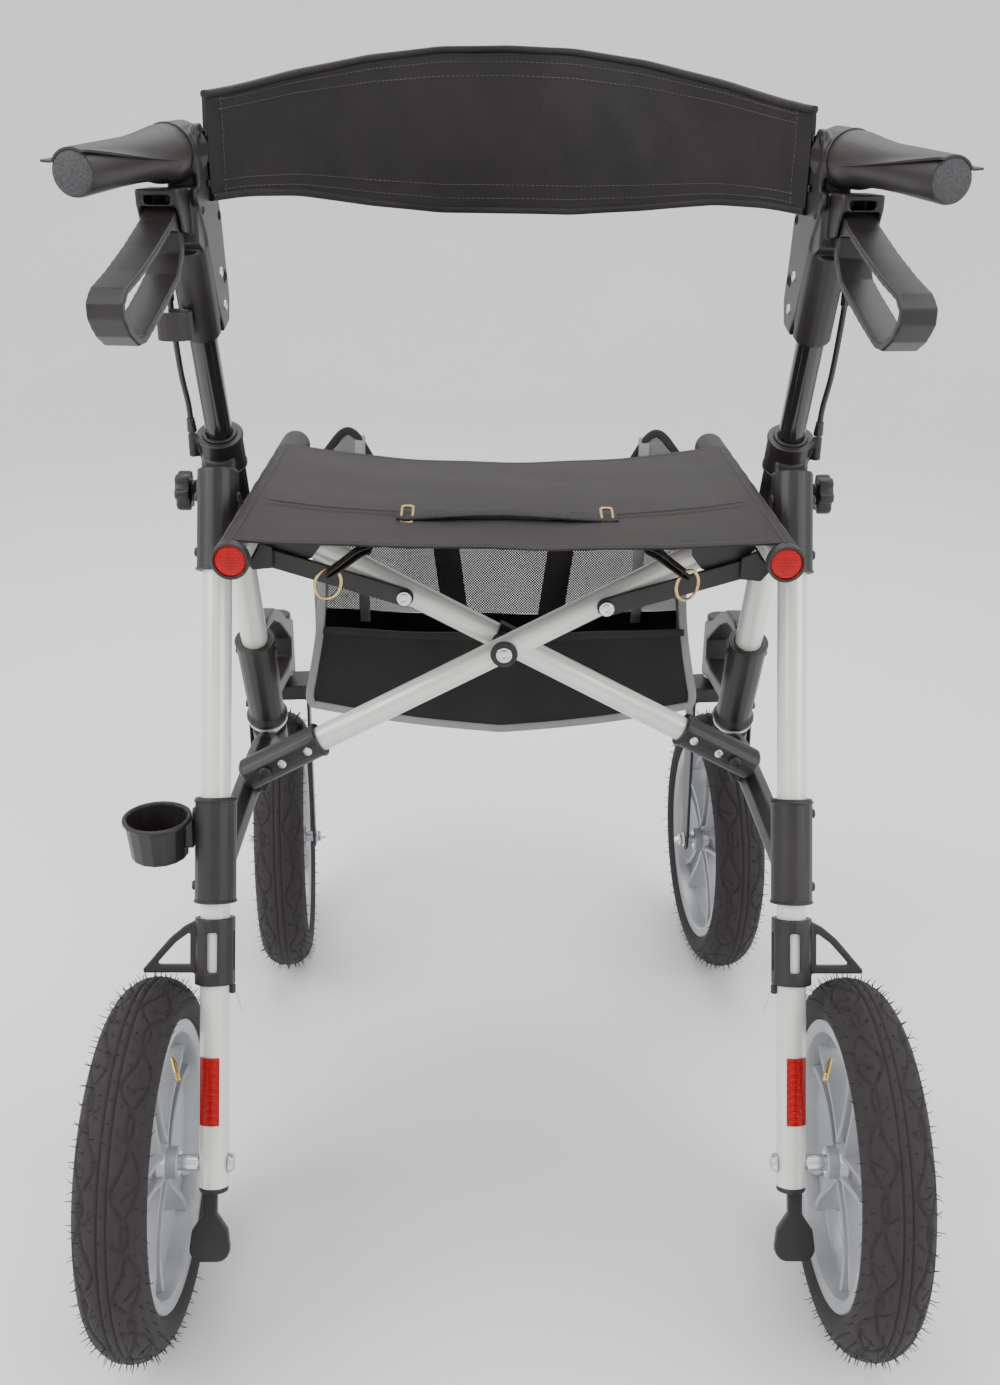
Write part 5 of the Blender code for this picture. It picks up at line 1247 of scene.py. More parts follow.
    def rivets(self) -> None:
        """The bracket's rivets, holes and pivot heads on both faces of its side plate."""
        f = self.frame
        inner_x = 0.2352 - 0.00225
        bright, dark = [], []
        for y, z, radius, is_bright in (
            (0.225, 0.871, 0.0042, True), (0.234, 0.844, 0.0042, True), (0.1685, 0.922, 0.0030, False),
            (0.196, 0.962, 0.0034, True), (0.2200, 0.934, 0.0028, False),
        ):
            head = screw_head(np.array([f.side * inner_x, fit_y(y), z]), -f.outward, radius, 0.0014)
            (bright if is_bright else dark).append(head)
        for y, z, radius in ((0.171, 0.974, 0.0038), (0.235, 0.914, 0.0038), (0.243, 0.866, 0.0054)):
            ring = [
                (radius * 0.66, -0.0006), (radius, -0.0006), (radius, 0.0004), (radius * 0.85, 0.0009),
                (radius * 0.66, 0.0007), (radius * 0.66, -0.0006)
            ]
            dark.append(lathe(ring, np.array([f.side * inner_x, fit_y(y), z]), -f.outward, 28))
        make(f"bracket_rivets_{f.tag}", bright, ZINC, self.body)
        make(f"bracket_eyelets_{f.tag}", dark, CASTING, self.body)

    def cable(self) -> None:
        """The brake cable: a round section on a fixed route, and its ferrules."""
        f = self.frame
        points = np.array([(f.side * x, fit_y(y), z) for x, y, z in self.route])
        path = smooth(points, 60)
        piece = make(
            f"brake_cable_line_{f.tag}", [sweep(circle(0.0025, 16), path, X_AXIS)], CABLE, "",
            (f"brake_cable_{f.tag}",),
        )
        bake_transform(piece)
        for word, place, way, body in (
            ("upper", points[0], points[1] - points[0], self.body),
            ("lower", points[-1], points[-2] - points[-1], f.body)
        ):
            steps = [(0.0040 - 0.0001 * k + 0.0004 * (k % 2), 0.0016 * k + 0.0004) for k in range(8)]
            steps = [(0.0026, 0.0), *steps, (0.0027, 0.0135), (0.0026, 0.0)]
            make(f"cable_boot_{word}_{f.tag}", [lathe(steps, place, way, 24)], CABLE, body)

    def build(self) -> None:
        """Builds the handle."""
        self.post_tube()
        self.castings()
        self.grip()
        self.rivets()
        self.cable()


# Folding brace and seat


@dataclass
class Brace:
    """The X brace: two painted arms in black end sockets, the crossing bolt, links and their screws."""

    slope: float = math.radians(28.0)
    pivot_x: float = 0.2235
    pivot_z: float = 0.4175
    rail_x: float = 0.2087
    arm_radius: float = 0.012

    @property
    def centre_z(self) -> float:
        """The crossing's height."""
        return self.pivot_z + self.pivot_x * math.tan(self.slope)

    def build(self) -> None:
        """Builds both arms and everything on them."""
        for tag, towards, y in (("a", 1, -0.0415), ("b", -1, -0.0155)):
            self.arm(tag, towards, y)
        front = np.array([0.0, -0.0415, self.centre_z])
        stack = [
            lathe(
                [
                    (0, -0.0122), (0.0120, -0.0122), (0.0126, -0.0132), (0.0122, -0.0150), (0.0085, -0.0162),
                    (0, -0.0162)
                ],
                front, Y_AXIS, 44
            ),
            lathe(
                [(0.0042, 0.0122), (0.0118, 0.0122), (0.0118, 0.0138), (0.0042, 0.0138), (0.0042, 0.0122)],
                front, Y_AXIS, 36
            ),
            lathe(
                [
                    (0, 0.0380), (0.0070, 0.0380), (0.0072, 0.0388), (0.0072, 0.0430), (0.0060, 0.0440),
                    (0, 0.0440)
                ],
                front, Y_AXIS, 6
            ),
            lathe([(0, -0.0122), (0.0039, -0.0122), (0.0039, 0.0385), (0, 0.0385)], front, Y_AXIS, 20),
        ]
        make("crossing_saddle", stack, CASTING, "arm_a", ("brace_bolt",))
        bright = [
            screw_head(front - Y_AXIS * 0.0160, -Y_AXIS, 0.0056, 0.0026, 32),
            washer(front - Y_AXIS * 0.0160, -Y_AXIS, 0.0072, 0.0040, 0.0006),
        ]
        make("crossing_screw", bright, ZINC, "arm_a")
        saddle_b = np.array([0.0, -0.0155, self.centre_z])
        half_ring = [
            (0.0124, -0.0100), (0.0150, -0.0100), (0.0155, -0.0090), (0.0155, 0.0090), (0.0150, 0.0100),
            (0.0124, 0.0100), (0.0124, -0.0100)
        ]
        way_b = np.array([-math.cos(self.slope), 0, math.sin(self.slope)])
        make("crossing_sleeve_b", [lathe(half_ring, saddle_b, way_b, 40)], CASTING, "arm_b")

    def arm(self, tag: str, towards: int, y: float) -> None:
        """One arm: a painted tube, a black lower socket with two screws, and its link with a screw.

        Args:
            tag: The arm's letter.
            towards: The side its upper end is on.
            y: Its plane.
        """
        body = f"arm_{tag}"
        centre = np.array([0.0, y, self.centre_z])
        way = np.array([towards * math.cos(self.slope), 0, math.sin(self.slope)])
        lower, upper = self.pivot_x / math.cos(self.slope), self.rail_x / math.cos(self.slope)
        shaft = tube(centre - way * (lower - 0.022), centre + way * (upper - 0.014), self.arm_radius)
        eye_centre = centre + way * upper
        eye = lathe(
            [
                (0.0044, -0.0115), (0.0110, -0.0115), (0.0118, -0.0105), (0.0118, 0.0105), (0.0110, 0.0115),
                (0.0044, 0.0115), (0.0044, -0.0115)
            ],
            eye_centre, Y_AXIS, 44,
        )
        make(f"brace_tube_{tag}", [shaft, eye], PEARL, body, (f"brace_arm_{tag}",))
        moulded(f"arm_socket_{tag}", CASTING, body, 0.0010, 4)
        mouth = centre - way * (lower - 0.057)
        collar = [
            (0.0126, -0.0030), (0.0160, -0.0030), (0.0167, -0.0022), (0.0167, 0.0), (0.0158, 0.0012),
            (0.0126, 0.0014), (0.0126, -0.0030)
        ]
        make(f"socket_lip_{tag}", [lathe(collar, mouth, way, 48)], CASTING, body)
        heads = [
            screw_head(centre - way * (lower - reach) - Y_AXIS * 0.0156, -Y_AXIS, 0.0042, 0.0020, 28)
            for reach in (0.018, 0.046)
        ]
        make(f"socket_screws_{tag}", heads, ZINC, body)
        link_node = f"brace_link_{tag}"
        moulded(link_node, CASTING, f"link_{tag}", 0.0008, 3)
        bolt = centre + way * 0.103
        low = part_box(link_node)[0]
        head = screw_head(np.array([bolt[0], low[1] - 0.0002, bolt[2]]), -Y_AXIS, 0.0052, 0.0022, 32)
        rim = washer(np.array([bolt[0], low[1] - 0.0002, bolt[2]]), -Y_AXIS, 0.0066, 0.0048, 0.0010)
        make(f"link_screw_{tag}", [head, rim], ZINC, f"link_{tag}")


@dataclass
class Stitching:
    """A row of sewn stitches: short rounded beads along a line, each sunk a little at its ends."""

    length: float = 0.0034
    gap: float = 0.0011
    radius: float = 0.00038

    def along(self, line: Array, up: Array) -> Surface:
        """The stitches on a line.

        Bead centres lie at equal arc length; each bead is a five-ring spindle whose rings follow the line.

        Args:
            line: Points on the cloth, m by 3.
            up: The cloth's outward direction at each point, or one for all.

        Returns:
            All the stitches as one surface.
        """
        step = np.linalg.norm(np.diff(line, axis=0), axis=1)
        place = np.concatenate(([0.0], np.cumsum(step)))
        pitch = self.length + self.gap
        count = max(int(place[-1] / pitch), 1)
        at = lambda s: np.stack([np.interp(s, place, line[:, k]) for k in range(3)], -1)
        ups = np.broadcast_to(up, line.shape)
        starts = np.arange(count) * pitch + self.gap / 2
        share = np.array([0.0, 0.2, 0.5, 0.8, 1.0])
        fat = np.array([0.35, 0.9, 1.0, 0.9, 0.35])
        s = starts[:, None] + share[None] * self.length
        centre = at(s.ravel()).reshape(count, 5, 3)
        way = unit(at(starts + self.length) - at(starts))[:, None]
        high = np.stack([np.interp(s.ravel(), place, ups[:, k]) for k in range(3)], -1).reshape(count, 5, 3)
        side = unit(np.cross(way, high))
        angle = np.arange(6) * math.tau / 6
        ring = np.cos(angle)[:, None] * side[..., None, :] + np.sin(angle)[:, None] * unit(high)[..., None, :]
        thickness = (self.radius * fat)[None, :, None, None]
        points = centre[..., None, :] + thickness * ring + 0.0002 * high[..., None, :]
        base = (np.arange(count) * 30)[:, None, None]
        i, j = np.meshgrid(np.arange(4), np.arange(6), indexing="ij")
        quad = np.stack(
            (i * 6 + j, (i + 1) * 6 + j, (i + 1) * 6 + (j + 1) % 6, i * 6 + (j + 1) % 6), -1
        ).reshape(-1, 4)
        ends = np.array([[5, 4, 3, 2, 1, 0], [24, 25, 26, 27, 28, 29]])
        faces = (base + quad).reshape(-1, 4).tolist() + (base + ends).reshape(-1, 6).tolist()
        return Surface(points.reshape(-1, 3), faces)


def cloth_strip(top: Array, normal: Array, thickness: float, flat: Array, caps: bool = True) -> Surface:
    """A cloth of a thickness: the top grid, and the same grid moved down its normal, joined round the rim.

    Args:
        top: The upper surface's grid.
        normal: Its outward normals.
        thickness: The cloth's thickness.
        flat: Its flat coordinates.
        caps: Whether the first and last rows are closed.

    Returns:
        A closed surface with flat coordinates.
    """
    low = top - normal * thickness
    rim = np.concatenate((top, low[:, ::-1]), axis=1)
    both = np.concatenate((flat, flat[:, ::-1]), axis=1)
    return grid(rim, wrap_v=True, caps=caps, flat=both)


def normals_of(points: Array, towards: Array) -> Array:
    """Unit normals of a grid by the cross product of its two slopes, turned to a given side."""
    normal = unit(np.cross(np.gradient(points, axis=0), np.gradient(points, axis=1)))
    sign = np.where((normal @ towards)[..., None] < 0, -1.0, 1.0)
    return normal * sign


@dataclass
class Seat:
    """The seat: two rails in black yokes, cloth hung between sewn hems, a pull strap, tapes and rings."""

    rail_x: float = 0.2087
    rail_z: float = 0.6813
    rail_radius: float = 0.0125
    rear: float = 0.0595
    length: float = 0.325
    hem_radius: float = 0.0139
    rail_rear: float = 0.0585
    rail_length: float = 0.3855

    def rails(self) -> None:
        """Rails, yokes, end caps and reflectors."""
        for tag, side in SIDES:
            body = f"rail_{tag}"
            start = np.array([side * self.rail_x, fit_y(self.rail_rear), self.rail_z])
            make(
                f"rail_tube_{tag}", [tube(start, start + Y_AXIS * self.rail_length, self.rail_radius)], PEARL,
                body, (f"seat_rail_{tag}",)
            )
            front = start + Y_AXIS * self.rail_length
            cap = [
                (0, -0.012), (0.0108, -0.012), (0.0108, 0.0), (0.0138, 0.0003), (0.0142, 0.0016),
                (0.0134, 0.0036), (0.0090, 0.0050), (0, 0.0054)
            ]
            ribs = [(0.0127, -0.0585), (0.0139, -0.0580)]
            ribs += [(0.0139 + 0.0005 * (k % 2), -0.0575 + 0.0022 * k) for k in range(26)]
            ribs += [(0.0127, -0.0004), (0.0127, -0.0585)]
            make(
                f"rail_cap_{tag}",
                [
                    lathe(cap, front - Y_AXIS * 0.0030, Y_AXIS, 44),
                    lathe(ribs, front - Y_AXIS * 0.0010, Y_AXIS, 44)
                ],
                CASTING, body
            )
            rear = start - Y_AXIS * 0.0095
            cup = [
                (0.0120, 0.0008), (0.0126, 0.0), (0.0138, 0.0002), (0.0145, 0.0012), (0.0146, 0.0088),
                (0.0140, 0.0093), (0, 0.0093), (0, 0.0030), (0.0120, 0.0030), (0.0120, 0.0008)
            ]
            lens = [
                (0, 0.0004), (0.0060, 0.0006), (0.0105, 0.0011), (0.0118, 0.0018), (0.0118, 0.0030),
                (0, 0.0030)
            ]
            plug = [(0, 0.0094), (0.0109, 0.0094), (0.0109, 0.0240), (0, 0.0240)]
            make(
                f"reflector_cup_{tag}", [lathe(cup, rear, Y_AXIS, 56), lathe(plug, rear, Y_AXIS, 32)],
                CASTING, body
            )
            make(
                f"reflector_lens_{tag}", [lathe(lens, rear, Y_AXIS, 56)], RED, body,
                (f"rail_reflector_{tag}",)
            )
            moulded(f"rail_yoke_{tag}", CASTING, body, 0.0009, 3)
            y = -0.0155 if side < 0 else -0.0415
            heads = [
                screw_head(np.array([side * self.rail_x, y - 0.0170, 0.647305]), -Y_AXIS, 0.0052, 0.0022)
            ]
            make(f"yoke_screw_{tag}", heads, ZINC, body)

    def band(self, x: Array) -> Array:
        """How far along the cloth the sewn band lies: 85 mm in the middle and 30 mm more at the rails."""
        return 0.085 + 0.030 * np.clip(np.abs(x) / self.rail_x, 0, 1) ** 1.6

    def sag(self, x: Array, along: Array) -> Array:
        """How far the cloth hangs: deepest on the centre line and towards the front edge.

        Depth = (5 mm + 11.5 mm * share^1.5) * (1 - (x / half)^2.2), with ripples of under a millimetre and a
        shallow dent on each side of the sewn band.
        """
        share = along / self.length
        half = self.rail_x - 0.004
        bowl = 1 - np.clip(np.abs(x) / half, 0, 1) ** 2.2
        ripple = 0.0009 * np.sin(19 * x + 31 * along) * np.sin(23 * along + 2.0)
        ripple = ripple + 0.0005 * np.sin(61 * x - 17 * along)
        seams = sum(
            0.0011 * np.exp(-(((along - self.band(x) - place) / 0.0022) ** 2)) for place in (-0.0055, 0.0055)
        )
        return (0.0050 + 0.0115 * share**1.5) * bowl + ripple * bowl + seams * np.minimum(1, 6 * bowl)

    def cloth(self) -> None:
        """The woven panel and its two hems.

        The panel's height is the rail's top less the sag. A hem is an arc of 250 degrees round its rail.
        """
        count = 190
        along = np.linspace(0, self.length, count)
        edge = self.rail_x - 0.0020
        x = np.linspace(-edge, edge, 210)
        top = self.rail_z + self.hem_radius
        grid_x, grid_a = np.meshgrid(x, along)
        height = top - self.sag(grid_x, grid_a)
        points = np.stack((grid_x, fit_y(self.rear) + grid_a, height), -1)
        normal = normals_of(points, Z_AXIS)
        flat = np.stack((grid_x, grid_a), -1)
        panel = make(
            "seat_cloth", [cloth_strip(points, normal, 0.0016, flat)], SEAT_CLOTH, "rail_l",
            ("seat",), 50
        )
        stitch = Stitching()
        rows = []
        columns = np.arange(3, len(x) - 3)
        for place in (self.band(x) - 0.0085, self.band(x) + 0.0085, 0 * x + 0.0065, 0 * x + 0.3185):
            row = np.round(place / self.length * (count - 1)).astype(int)[columns]
            rows.append(stitch.along(points[row, columns], normal[row, columns]))
        seams = make("seat_seams", rows, THREAD, "rail_l")
        soft = [panel, seams, *self.strap(), *self.tapes()]
        for piece in soft:
            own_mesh(piece)
        for tag, side in SIDES:
            angle = np.radians(np.linspace(100, -150, 44))
            pucker = 0.00025 * np.sin(140 * along)[:, None] * np.sin(3 * angle)[None]
            radius = self.hem_radius + 0.0003 + pucker
            ring = np.stack((side * np.cos(angle), 0 * angle, np.sin(angle)), -1)
            line = np.stack(
                (np.full(count, side * self.rail_x), fit_y(self.rear) + along, np.full(count, self.rail_z)),
                -1
            )
            outer = line[:, None] + radius[..., None] * ring[None]
            flat_hem = np.stack(np.broadcast_arrays(angle[None] * self.hem_radius, along[:, None]), -1)
            out = np.broadcast_to(ring[None], outer.shape)
            hem = make(
                f"seat_hem_{tag}", [cloth_strip(outer, out, 0.0010, flat_hem)], SEAT_CLOTH, f"rail_{tag}",
                (), 50
            )
            turns = np.radians([124, 92, 62])
            sewn = [
                stitch.along(
                    line + (self.hem_radius + 0.0006) * np.array([side * math.cos(a), 0, math.sin(a)]),
                    np.array([side * math.cos(a), 0, math.sin(a)])
                )
                for a in turns
            ]
            make(f"hem_stitches_{tag}", sewn, THREAD, f"rail_{tag}")

    def strap(self) -> list[bpy.types.Object]:
        """The webbing pull strap across the middle, through two wire rectangles, with its sewn ends."""
        place, half, width = 0.0850, 0.081, 0.0230
        x = np.linspace(-half - 0.008, half + 0.008, 90)
        along = np.full_like(x, place)
        base = self.rail_z + self.hem_radius - self.sag(x, along)
        rise = 0.0016 + 0.0034 * np.clip(1 - (x / half) ** 2, 0, 1) ** 0.7
        path = np.stack((x, fit_y(self.rear) + along, base + rise), -1)
        outline = rounded(width, 0.0020, 0.0008, 3)
        band = sweep(outline, path, Z_AXIS)
        band.flat = np.stack(np.broadcast_arrays(outline[None, :, 0], x[:, None]), -1).reshape(-1, 2)
        strap = make("pull_strap", [band], WEBBING, "rail_l", (), 40)
        wires, boxes = [], []
        for side in (-1, 1):
            frame_x = side * half
            z = float(np.interp(frame_x, x, base)) + 0.0028
            loop = rounded(0.0090, 0.0290, 0.0022, 5)
            lift = 0.0030 * loop[:, 1] / 0.0145
            wire = np.stack((frame_x + loop[:, 0], fit_y(self.rear) + place + loop[:, 1], z + lift), -1)
            wires.append(sweep(circle(0.0012, 12), wire, Z_AXIS, loop=True))
            for offset in (-0.0080, 0.0080):
                line = np.stack(
                    (
                        frame_x - side * np.linspace(0.012, 0.030, 8),
                        np.full(8, fit_y(self.rear) + place + offset), np.full(8, z + 0.0016)
                    ),
                    -1
                )
                boxes.append(Stitching(radius=0.0003).along(line, Z_AXIS))
        rings = make("strap_frames", wires, BRASS, "rail_l")
        sewn = make("strap_stitches", boxes, THREAD, "rail_l")
        return [strap, rings, sewn]

    def tapes(self) -> list[bpy.types.Object]:
        """A tape under each side of the cloth that hangs outwards in a loop through a round wire ring."""
        made = []
        for tag, side in SIDES:
            y = fit_y(0.083)
            line = smooth([
                (side * 0.1060, y, 0.6855), (side * 0.1160, y, 0.6815), (side * 0.1280, y, 0.6720),
                (side * 0.1385, y, 0.6640),
                (side * 0.1400, y, 0.6615), (side * 0.1360, y, 0.6618), (side * 0.1240, y, 0.6700),
                (side * 0.1130, y, 0.6780), (side * 0.1050, y, 0.6820),
            ], 70)
            outline = rounded(0.0200, 0.0013, 0.0005, 3)
            band = sweep(outline, line, np.array([0.3, 0.0, 1.0]))
            band.flat = np.stack(
                np.broadcast_arrays(outline[None, :, 0], np.linspace(0, 0.09, 70)[:, None]), -1
            ).reshape(-1, 2)
            made.append(make(f"hang_tape_{tag}", [band], WEBBING, "rail_l", (), 40))
            angle = np.linspace(0, math.tau, 64, endpoint=False)
            ring = np.stack(
                (
                    side * 0.1400 + 0.0120 * np.cos(angle) * 0.8, y + 0.0120 * np.cos(angle) * 0.6,
                    0.6535 + 0.0120 * np.sin(angle)
                ),
                -1
            )
            made.append(
                make(
                    f"wire_ring_{tag}",
                    [sweep(circle(0.0012, 12), ring, np.array([0.6, -0.8, 0.0]), loop=True)], BRASS, "rail_l",
                )
            )
        return made

    def build(self) -> None:
        """Builds the seat."""
        self.rails()
        self.cloth()


@dataclass
class Backrest:
    """The backrest: a padded woven band bowed forward between the brackets, bound and stitched all round."""

    half_span: float = 0.2312
    start: float = 0.198
    reach: float = 0.185
    thickness: float = 0.0045

    def edges(self, share: Array) -> tuple[Array, Array]:
        """The band's lower and upper edges' heights at a share from -1 to 1 across it."""
        knots = np.array([0.0, 0.25, 0.5, 0.75, 0.9, 1.0])
        low = np.interp(np.abs(share), knots, [0.9090, 0.9095, 0.9160, 0.9260, 0.9270, 0.9245])
        high = np.interp(np.abs(share), knots, [1.0450, 1.0430, 1.0340, 1.0190, 1.0070, 1.0005])
        droop = -0.0035 * share * np.abs(share) ** 0.5
        ease = np.ones(9) / 9
        pad = lambda row: np.convolve(np.pad(row, 4, mode="edge"), ease, "valid")
        return pad(low) + droop, pad(high) + droop

    def build(self) -> None:
        """Builds the band, its binding, stitches and clips.

        Point = (half span * s, start + reach * (1 - s^2), height) plus soft creases along the band.
        """
        count, rows = ((260, 60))
        share = np.linspace(-1, 1, count)
        low, high = self.edges(share)
        t = np.linspace(0, 1, rows)
        s, v = np.meshgrid(share, t, indexing="ij")
        height = low[:, None] + v * (high - low)[:, None]
        ahead = fit_y(self.start) + self.reach * (1 - s**2)
        swell = np.sin(math.pi * v)
        crease = 0.0016 * np.sin(9 * s + 2 * v) * swell + 0.0009 * np.sin(34 * s + 5 * v) * swell**2
        ends = 0.0012 * np.exp(-(((np.abs(s) - 0.93) / 0.012) ** 2))
        lean = 0.010 * (v - 0.5) * (1 - s**2)
        belly = 0.0022 * np.sin(math.pi * v) * (1 - s**4)
        points = np.stack((self.half_span * s, ahead + crease + ends + lean - belly + 0.002, height), -1)
        normal = normals_of(points, -Y_AXIS)
        arc = np.concatenate(([0], np.cumsum(np.linalg.norm(np.diff(points[:, rows // 2], axis=0), axis=1))))
        flat = np.stack((np.broadcast_to(arc[:, None], height.shape), height), -1)
        thick = self.thickness * (0.55 + 0.45 * np.sin(math.pi * v) ** 0.4)
        low_side = points - normal * thick[..., None]
        skin = grid(
            np.concatenate((points, low_side[:, ::-1]), axis=1), wrap_v=True, caps=True,
            flat=np.concatenate((flat, flat[:, ::-1]), axis=1),
        )
        band = make("backrest_band", [skin], BACK_CLOTH, "handle_l", ("backrest",), 50)
        middle = (points + low_side) / 2
        rims = []
        outline = rounded(0.0072, 0.0060, 0.0026, 5)
        for row, drop in ((0, 0.0015), (-1, -0.0015)):
            path = middle[:, row] + Z_AXIS * drop
            edge = sweep(outline, path, Z_AXIS)
            edge.flat = np.stack(
                np.broadcast_arrays(outline[None, :, 1] + outline[None, :, 0], arc[:, None]), -1
            ).reshape(-1, 2)
            rims.append(edge)
        binding = make("backrest_binding", rims, WEBBING, "handle_l", (), 60)
        sewn = []
        inset = max(2, rows // 12)
        for row in (inset, inset * 2, rows - 1 - inset, rows - 1 - inset * 2):
            sewn.append(Stitching().along(points[4:-4, row], normal[4:-4, row]))
        for column in (int(count * 0.022), count - 1 - int(count * 0.022)):
            sewn.append(Stitching().along(points[column, 2:-2], normal[column, 2:-2]))
        stitches = make("backrest_stitches", sewn, THREAD, "handle_l")
        for piece in (band, binding, stitches):
            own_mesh(piece)
        for tag, side in SIDES:
            plates = []
            for z in (0.9400, 0.9580, 0.9760):
                centre = np.array([side * 0.2325, fit_y(0.1965), z])
                axes = (
                    unit(np.array([0.25 * side, 1.0, 0.0])), Z_AXIS, unit(np.array([1.0, -0.25 * side, 0.0]))
                )
                plates.append(block((0.0140, 0.0050, 0.0018), centre, axes, 0.0007))
            make(f"backrest_hooks_{tag}", plates, CASTING, f"handle_{tag}")


@dataclass
class Basket:
    """The shopping bag under the seat: net above, cloth below, dark red gussets, grey binding, two straps."""

    half: float = 0.201
    rear: float = 0.3765
    front: float = 0.5030
    top: float = 0.643
    corner: float = 0.4255
    keel: float = 0.3975

    def floor(self, x: Array) -> Array:
        """The bottom's height: a shallow V whose sides hang a little."""
        share = np.abs(x) / self.half
        return self.keel + (self.corner - self.keel) * share - 0.0035 * np.sin(math.pi * share)

    def waist(self, height: Array) -> Array:
        """How far the bag's rear corners lean in at a height: 20 mm at most, above the middle."""
        share = np.clip((height - self.corner) / (self.top - self.corner), 0, 1)
        return 0.020 * np.sin(0.8 * math.pi * share)

    def panel(
        self, y: float, low: Array, high: Array, x: Array, bulge: float, rows: int
    ) -> tuple[Array, Array]:
        """A hanging panel.

        Height runs from low to high, and the panel bellies by bulge * sin(pi v) * (1 - (x / half)^2), with
        upright folds that fade out towards the bottom.

        Args:
            y: Its plane.
            low: The lower edge's heights.
            high: The upper edge's heights.
            x: Positions across.
            bulge: How far it bellies, with its sign.
            rows: Rows of points.

        Returns:
            The grid of points and its flat coordinates.
        """
        v = np.linspace(0, 1, rows)
        xs, vs = np.meshgrid(x, v, indexing="ij")
        height = low[:, None] + vs * (high - low)[:, None]
        folds = 0.0016 * np.sin(46 * xs + 3 * vs) * vs + 0.0010 * np.sin(97 * xs) * np.sin(math.pi * vs)
        bend = bulge * np.sin(math.pi * vs) * (1 - (xs / self.half) ** 2) + folds
        drawn = 1 - self.waist(height) / self.half if y == self.rear else 1.0
        return np.stack((xs * drawn, fit_y(y) + bend, height), -1), np.stack((xs, height), -1)

    def build(self) -> None:
        """Builds the bag's panels, binding and straps, all on the left frame."""
        count = 150
        x = np.linspace(-self.half, self.half, count)
        low = self.floor(x)
        split = np.full(count, 0.486) - 0.006 * (1 - (x / self.half) ** 2)
        ears = 0.046 * np.exp(-(((np.abs(x) - 0.160) / 0.026) ** 2))
        peak = self.top - 0.020 * np.sin(math.pi * np.abs(x) / self.half) ** 2 + ears
        pieces: list[bpy.types.Object] = []
        kinds = (
            ("bag_front_cloth", self.front, low, split, 0.006, BAG_CLOTH),
            ("bag_front_net", self.front, split, peak, 0.005, NET),
            ("bag_rear_cloth", self.rear, low, split + 0.020, -0.005, BAG_CLOTH),
        )
        surfaces: dict[str, Array] = {}
        for name, y, bottom, top, bulge, finish in kinds:
            points, flat = self.panel(y, bottom, top, x, bulge, 70)
            surfaces[name] = points
            normal = normals_of(points, Y_AXIS * (1 if y == self.front else -1))
            piece = make(
                name, [cloth_strip(points, normal, 0.0010, flat)], finish, "left_frame", (), 50
            )
            pieces.append(piece)
        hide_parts("basket")
        y = np.linspace(self.rear, self.front, 36)
        xs, ys = np.meshgrid(x, y, indexing="ij")
        base = np.stack(
            (
                xs, fit_y(ys),
                self.floor(xs) - 0.0025 * np.sin(math.pi * (ys - self.rear) / (self.front - self.rear))
            ),
            -1
        )
        flat = np.stack((xs, ys), -1)
        bottom = make(
            "bag_floor", [cloth_strip(base, normals_of(base, -Z_AXIS), 0.0014, flat)], BAG_CLOTH,
            "left_frame", (), 50
        )
        pieces.append(bottom)
        z = np.linspace(self.corner, self.top - 0.004, 50)
        for tag, side in SIDES:
            zs, yy = np.meshgrid(z, y, indexing="ij")
            v = (zs - self.corner) / (self.top - self.corner)
            back = (yy - self.rear) / (self.front - self.rear)
            fold = -0.016 * np.sin(math.pi * back) * (0.35 + 0.65 * v)
            fold = fold + 0.0012 * np.sin(90 * zs) * back - self.waist(zs) * (1 - back) ** 1.5
            points = np.stack((side * (self.half + fold), fit_y(yy), zs), -1)
            wall = make(
                f"bag_gusset_{tag}",
                [cloth_strip(points, normals_of(points, side * X_AXIS), 0.0010, np.stack((yy, zs), -1))],
                GUSSET, "left_frame", (), 50,
            )
            pieces.append(wall)
        pieces.extend(self.binding(surfaces))
        pieces.extend(self.straps(surfaces["bag_front_net"], surfaces["bag_front_cloth"], x))
        for piece in pieces:
            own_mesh(piece)

    def tape(self, line: Array) -> Surface:
        """A folded tape along a line, with flat coordinates."""
        outline = rounded(0.0085, 0.0040, 0.0018, 4)
        made = sweep(outline, line, Y_AXIS)
        length = np.concatenate(([0], np.cumsum(np.linalg.norm(np.diff(line, axis=0), axis=1))))
        made.flat = np.stack(np.broadcast_arrays(outline[None, :, 0], length[:, None]), -1).reshape(-1, 2)
        return made

    def binding(self, surfaces: dict[str, Array]) -> list[bpy.types.Object]:
        """The grey tape over the bag's bottom and upright edges, and the black one over its upper edges."""
        grey = []
        height = np.linspace(self.corner + 0.004, self.top - 0.012, 40)
        rear = np.full(40, fit_y(self.rear))
        for name, above in (("bag_front_cloth", "bag_front_net"), ("bag_rear_cloth", None)):
            lower = surfaces[name]
            if above:
                left = np.vstack((lower[0], surfaces[above][0, 1:]))
                right = np.vstack((lower[-1], surfaces[above][-1, 1:]))
            else:
                left = np.stack((self.waist(height) - self.half, rear, height), -1)
                right = left * np.array([-1, 1, 1])
            line = np.vstack((left[::-1][:-1], lower[1:-1, 0], right[1:]))
            ease = np.ones(3) / 3
            line = np.stack(
                [np.convolve(np.pad(line[:, k], 1, mode="edge"), ease, "valid") for k in range(3)], -1
            )
            grey.append(self.tape(line))
        black = [self.tape(surfaces[name][:, -1]) for name in ("bag_front_net", "bag_rear_cloth")]
        return [
            make("bag_binding", grey, BINDING, "left_frame", (), 50),
            make("bag_hem", black, WEBBING, "left_frame", (), 50),
        ]

